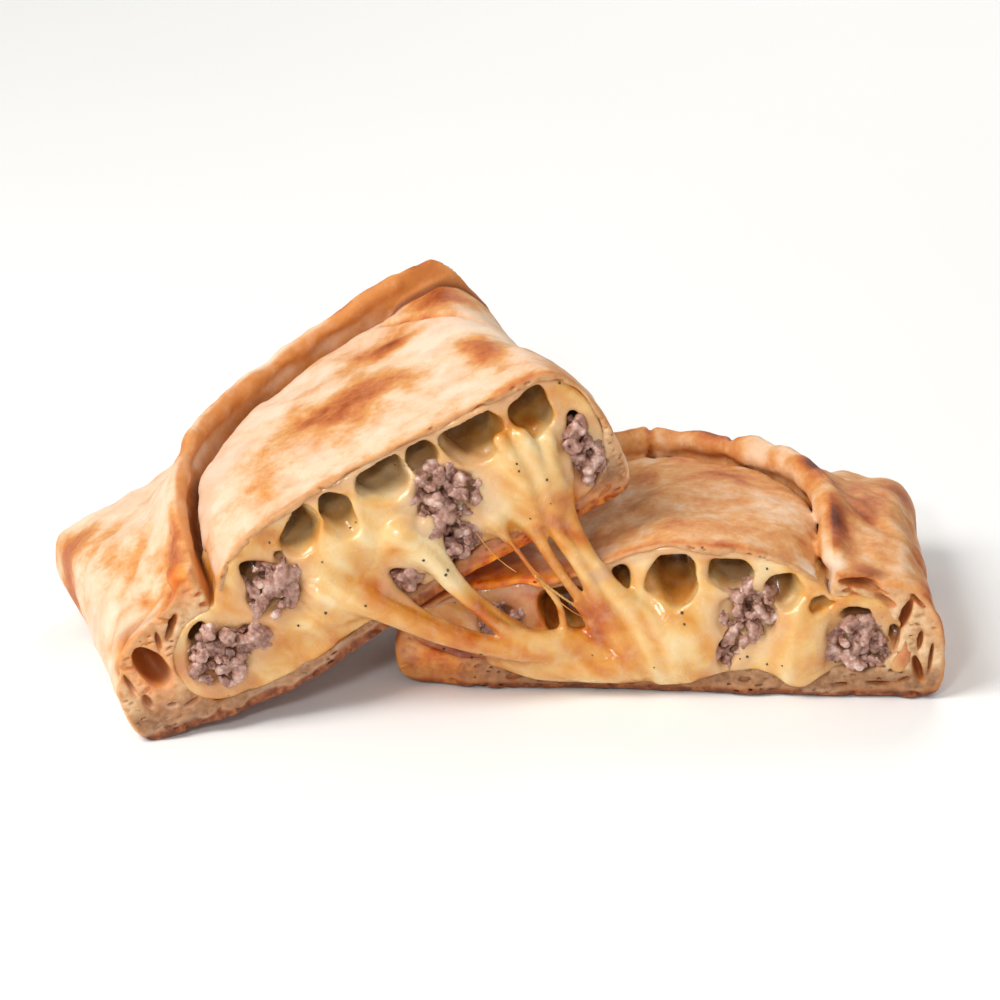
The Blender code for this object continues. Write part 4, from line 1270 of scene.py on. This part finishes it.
def cheese_material():
    """Melted cheese: a wet, oily coat over a cloudy body that light goes into, so it looks hot."""
    material, tree, shader = new_material("melted cheese")
    grain = patterns(tree, CHEESE_PATTERNS)
    masks = painted(tree, "amber", "ridge_light_shade", "film", "hollow")
    level = add(tree, MATHS, {0: grain["drift"], 1: 0.6, 2: masks["amber"]}, operation="MULTIPLY_ADD")
    level = add(tree, MATHS, {0: level, 1: 0.3}, operation="SUBTRACT", use_clamp=True)
    # Painted highlight and shade along the pull: ridges paler, furrows darker.
    level = add(tree, MATHS, {0: masks["ridge_light_shade"], 1: -0.35, 2: level}, operation="MULTIPLY_ADD")
    level = add(tree, MATHS, {0: level, 1: 0.175}, operation="ADD", use_clamp=True)
    cloudy = {0: grain["clouds"], 1: 3.5, 2: -1.75}
    cloudy = add(tree, MATHS, cloudy, operation="MULTIPLY_ADD", use_clamp=True)
    cloudy = add(tree, MATHS, {0: cloudy, 1: 0.45}, operation="MULTIPLY")
    film = add(tree, MATHS, {0: masks["film"], 1: 0.65}, operation="MULTIPLY")
    # The hollows get painted shade, darkest at their tops.
    body = lay_over(
        tree, add(tree, RAMP, {0: level}, BODY),
        (cloudy, "#dcb694"), (film, "#cf9f78"), (masks["hollow"], add(tree, RAMP, {0: grain["hollow_shade_noise"]}, HOLLOW_SHADE_TONES)),
    )
    rough = add(tree, MATHS, {0: grain["wet"], 1: 0.25, 2: 0.12}, operation="MULTIPLY_ADD")
    relief = {"Height": grain["ripples"], "Strength": 0.6, "Distance": 0.0002}
    plug(tree, shader, {
        "Base Color": body, "Roughness": rough, "Normal": add(tree, BUMP, relief),
        "Subsurface Weight": 0.3, "Subsurface Radius": (1.0, 0.5, 0.18), "Subsurface Scale": 0.003,
        "Specular IOR Level": 0.55, "Coat Weight": 0.3, "Coat Roughness": 0.1,
    })
    return material


# %% Mince material
MEAT_PATTERNS = {"tone": (2.6, 4, 0.6, 0), "juice": (1.5, 3, 0.55, 0), "fibre": (0.8, 4, 0.65, 0)}
MEAT_TONES = [(0.3, "#5e3528"), (0.42, "#976a59"), (0.55, "#b98f80"), (0.7, "#dcc2b4")]


def mince_material():
    """Cooked minced beef: grey-brown and grainy, with a film of juice that gives small bright spots."""
    material, tree, shader = new_material("cooked minced beef")
    grain = patterns(tree, MEAT_PATTERNS)
    rough = add(tree, MATHS, {0: grain["juice"], 1: 0.3, 2: 0.18}, operation="MULTIPLY_ADD")
    relief = {"Height": grain["fibre"], "Strength": 0.8, "Distance": 0.00022}
    plug(tree, shader, {
        "Base Color": add(tree, RAMP, {0: grain["tone"]}, MEAT_TONES), "Roughness": rough,
        "Normal": add(tree, BUMP, relief),
        "Subsurface Weight": 0.15, "Subsurface Radius": (1.0, 0.4, 0.25), "Subsurface Scale": 0.0015,
        "Specular IOR Level": 0.55, "Coat Weight": 0.3, "Coat Roughness": 0.15,
    })
    return material


DOUGH, CHEESE, MINCE = dough_material(), cheese_material(), mince_material()
for crust in crusts.values():
    crust.data.materials.append(DOUGH)
cheese.data.materials.append(CHEESE)
print("materials:", ", ".join(m.name for m in (DOUGH, CHEESE, MINCE)))

# %% Scatter the mince
rng = np.random.default_rng(5)
crumbs = crumb_group(MINCE)
mince = {}
for name, clusters in MEAT.items():
    points, sizes = cluster_points(clusters, *HALVES[name], rng)
    piece = point_cloud(f"{name}_mince", points, sizes)
    run_group(piece, crumbs, detail=4, lumpiness=0.6, seed=3, material=MINCE)
    mince[name] = piece
    print(name, "mince:", len(sizes), "crumbs,", count_triangles(piece), "triangles")

# %% [markdown]
# ## Herb flecks
#
# Flecks of oregano, smaller than half a millimetre, lie on the front of the cheese. A painted dot
# would look flat in the wet coat, so each is a real grain: the same lump as the mince, made tiny.

# %% Herb flecks
FLECKS = 64


def herb_material():
    """Dried oregano: brown-green and quite matt, so it reads as a dark grain."""
    material, tree, shader = new_material("dried oregano")
    grain = patterns(tree, {"leaf": (1.0, 3, 0.55, 0)})
    leaf = add(tree, RAMP, {0: grain["leaf"]}, [(0.4, "#33311a"), (0.6, "#5c5530")])
    plug(tree, shader, {"Base Color": leaf, "Roughness": 0.6})
    return material


HERB = herb_material()
spots = points_of(cheese)
facing = np.flatnonzero((normals_of(cheese)[:, 1] < -0.6) & (spots[:, 2] > 6))
chosen = np.random.default_rng(8).choice(facing, FLECKS, replace=False)
herbs = point_cloud("herb_flecks", spots[chosen], np.random.default_rng(9).uniform(0.12, 0.32, FLECKS))
run_group(herbs, crumbs, detail=2, lumpiness=0.1, seed=6, material=HERB)
print("herb flecks:", FLECKS)

# %% [markdown]
# ## Fine threads of cheese
#
# Between the ropes hang threads thinner than a match. They are too thin for the grid of the field, so
# they are curves with a radius at each point, swept by a Geometry Nodes group.

# %% Threads
def thread_group(material):
    group, inside, outside = new_group(
        "threads of cheese",
        [("Sides", "NodeSocketInt", 8), ("Material", "NodeSocketMaterial", material)],
    )
    given = inside.outputs
    radius = add(group, "GeometryNodeInputNamedAttribute", {"Name": "thickness"}, data_type="FLOAT")
    line = add(group, "GeometryNodeMeshToCurve", {"Mesh": given["Geometry"]})
    sized = add(group, "GeometryNodeSetCurveRadius", {"Curve": line, "Radius": radius})
    ring = add(group, "GeometryNodeCurvePrimitiveCircle", {"Radius": 1.0, "Resolution": given["Sides"]})
    tube = add(group, "GeometryNodeCurveToMesh", {"Curve": sized, "Profile Curve": ring, "Fill Caps": True})
    if "Scale" in tube.inputs:
        plug(group, tube, {"Scale": radius})
    smooth = add(group, "GeometryNodeSetShadeSmooth", {"Geometry": tube})
    dressed = add(group, "GeometryNodeSetMaterial", {"Geometry": smooth, "Material": given["Material"]})
    plug(group, outside, {0: dressed})
    return group


THREAD_SAG, THREAD_SHARE = 0.9, 0.34  # how far a thread hangs down, and its share of the listed radius

paths = [curve_through(rows, 26) for rows in HAIRS.values()]
for path in paths:
    path[:, 2] -= THREAD_SAG * np.sin(np.linspace(0, math.pi, len(path)))
mesh = bpy.data.meshes.new("cheese_threads")
starts = np.cumsum([0] + [len(path) for path in paths])
edges = [(k, k + 1) for a, b in zip(starts, starts[1:]) for k in range(a, b - 1)]
mesh.from_pydata([tuple(p[:3] * 0.001) for path in paths for p in path], edges, [])
thickness = np.concatenate([path[:, 3] for path in paths]) * THREAD_SHARE * 0.001
mesh.attributes.new("thickness", "FLOAT", "POINT").data.foreach_set("value", thickness.astype(np.float32))
threads = bpy.data.objects.new("cheese_threads", mesh)
scene.collection.objects.link(threads)
run_group(threads, thread_group(CHEESE), sides=8, material=CHEESE)
add_mask(threads, "amber", np.full(len(threads.data.vertices), 0.45))
# An even share of the ridges' painted highlight and shade.
add_mask(threads, "ridge_light_shade", np.full(len(threads.data.vertices), 0.4))
print("threads:", len(paths), "with", len(threads.data.polygons), "faces")

# %% [markdown]
# ## Put the pieces on the frame
#
# Each dressed piece takes the place of the CAD nodes that it covers. The threads and the flecks cover
# none, so they only ride along.

# %% Frame
for name, crust in crusts.items():
    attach(crust, "root")
    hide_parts(f"{name}_crust")
for piece in (cheese, threads):
    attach(piece, "root")
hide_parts("melted_cheese")
for name, piece in mince.items():
    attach(piece, "root")
    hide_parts(*[node for node in sorted(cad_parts) if node.startswith(f"{name}_meat")])
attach(herbs, "root")
print("pieces:", len(crusts) + len(mince) + 3)

# %% [markdown]
# ## Stage, light and camera
#
# Food looks best in soft light from above and behind the eye. A large key light stands at the left, a
# weak fill at the right takes the edge off the shadows, a small lamp puts sparkles on the wet cheese,
# and a lamp at the back draws the outline. The camera looks down a little through a long lens, which
# keeps both halves in proportion.

# %% Stage
FLOOR_HALF = 3.0  # metres

floor_mesh = bpy.data.meshes.new("floor")
corners = [(x * FLOOR_HALF, y * FLOOR_HALF, 0) for x, y in ((-1, -1), (1, -1), (1, 1), (-1, 1))]
floor_mesh.from_pydata(corners, [], [(0, 1, 2, 3)])
floor = bpy.data.objects.new("floor", floor_mesh)
floor.location.z = -0.0002
scene.collection.objects.link(floor)
paper, tree, shader = new_material("matte white paper")
pulp = patterns(tree, {"pulp": (400, 2, 0.55, 0)})["pulp"]
plug(tree, shader, {"Base Color": add(tree, RAMP, {0: pulp}, [(0.3, "#fbfbfa"), (0.7, "#fefefd")]),
                    "Roughness": 0.9})
floor_mesh.materials.append(paper)

world = bpy.data.worlds.new("studio")
world.use_nodes = True
world.node_tree.nodes["Background"].inputs[0].default_value = (1.0, 1.0, 1.0, 1)
world.node_tree.nodes["Background"].inputs[1].default_value = 0.32
scene.world = world


def area_light(name, size, power, spot, aim, tint):
    """A soft square light at spot, facing aim, both in millimetres."""
    data = bpy.data.lights.new(name, "AREA")
    data.size, data.energy, data.color = size, power, tint
    obj = bpy.data.objects.new(name, data)
    obj.location = Vector(spot) * 0.001
    obj.rotation_euler = (Vector(aim) - Vector(spot)).to_track_quat("-Z", "Y").to_euler()
    scene.collection.objects.link(obj)


area_light("key", 0.5, 9.4, (-620, -420, 820), (0, -20, 20), (1.0, 0.985, 0.96))
area_light("fill", 0.9, 1.3, (700, -800, 420), (0, -20, 20), (1.0, 0.98, 0.96))
area_light("sparkle", 0.1, 1.8, (-180, -760, 520), (0, -20, 30), (1.0, 1.0, 1.0))
area_light("back", 0.5, 2.5, (250, 700, 620), (0, 0, 30), (1.0, 0.98, 0.95))

# %% Camera
CAMERA_TARGET, CAMERA_DISTANCE, CAMERA_RISE = (1.8, -26.5, 48.5), 0.9, 24  # mm, metres, degrees

camera_data = bpy.data.cameras.new("camera")
camera_data.lens, camera_data.sensor_width = 144.5, 36.0
camera = bpy.data.objects.new("camera", camera_data)
target = Vector(CAMERA_TARGET) * 0.001
elevation = math.radians(CAMERA_RISE)
camera.location = target + Vector((0, -math.cos(elevation), math.sin(elevation))) * CAMERA_DISTANCE
camera.rotation_euler = (target - camera.location).to_track_quat("-Z", "Y").to_euler()
scene.collection.objects.link(camera)
scene.camera = camera
scene.view_settings.view_transform = "Standard"
print("camera:", CAMERA_RISE, "degrees up,", CAMERA_DISTANCE, "m away")
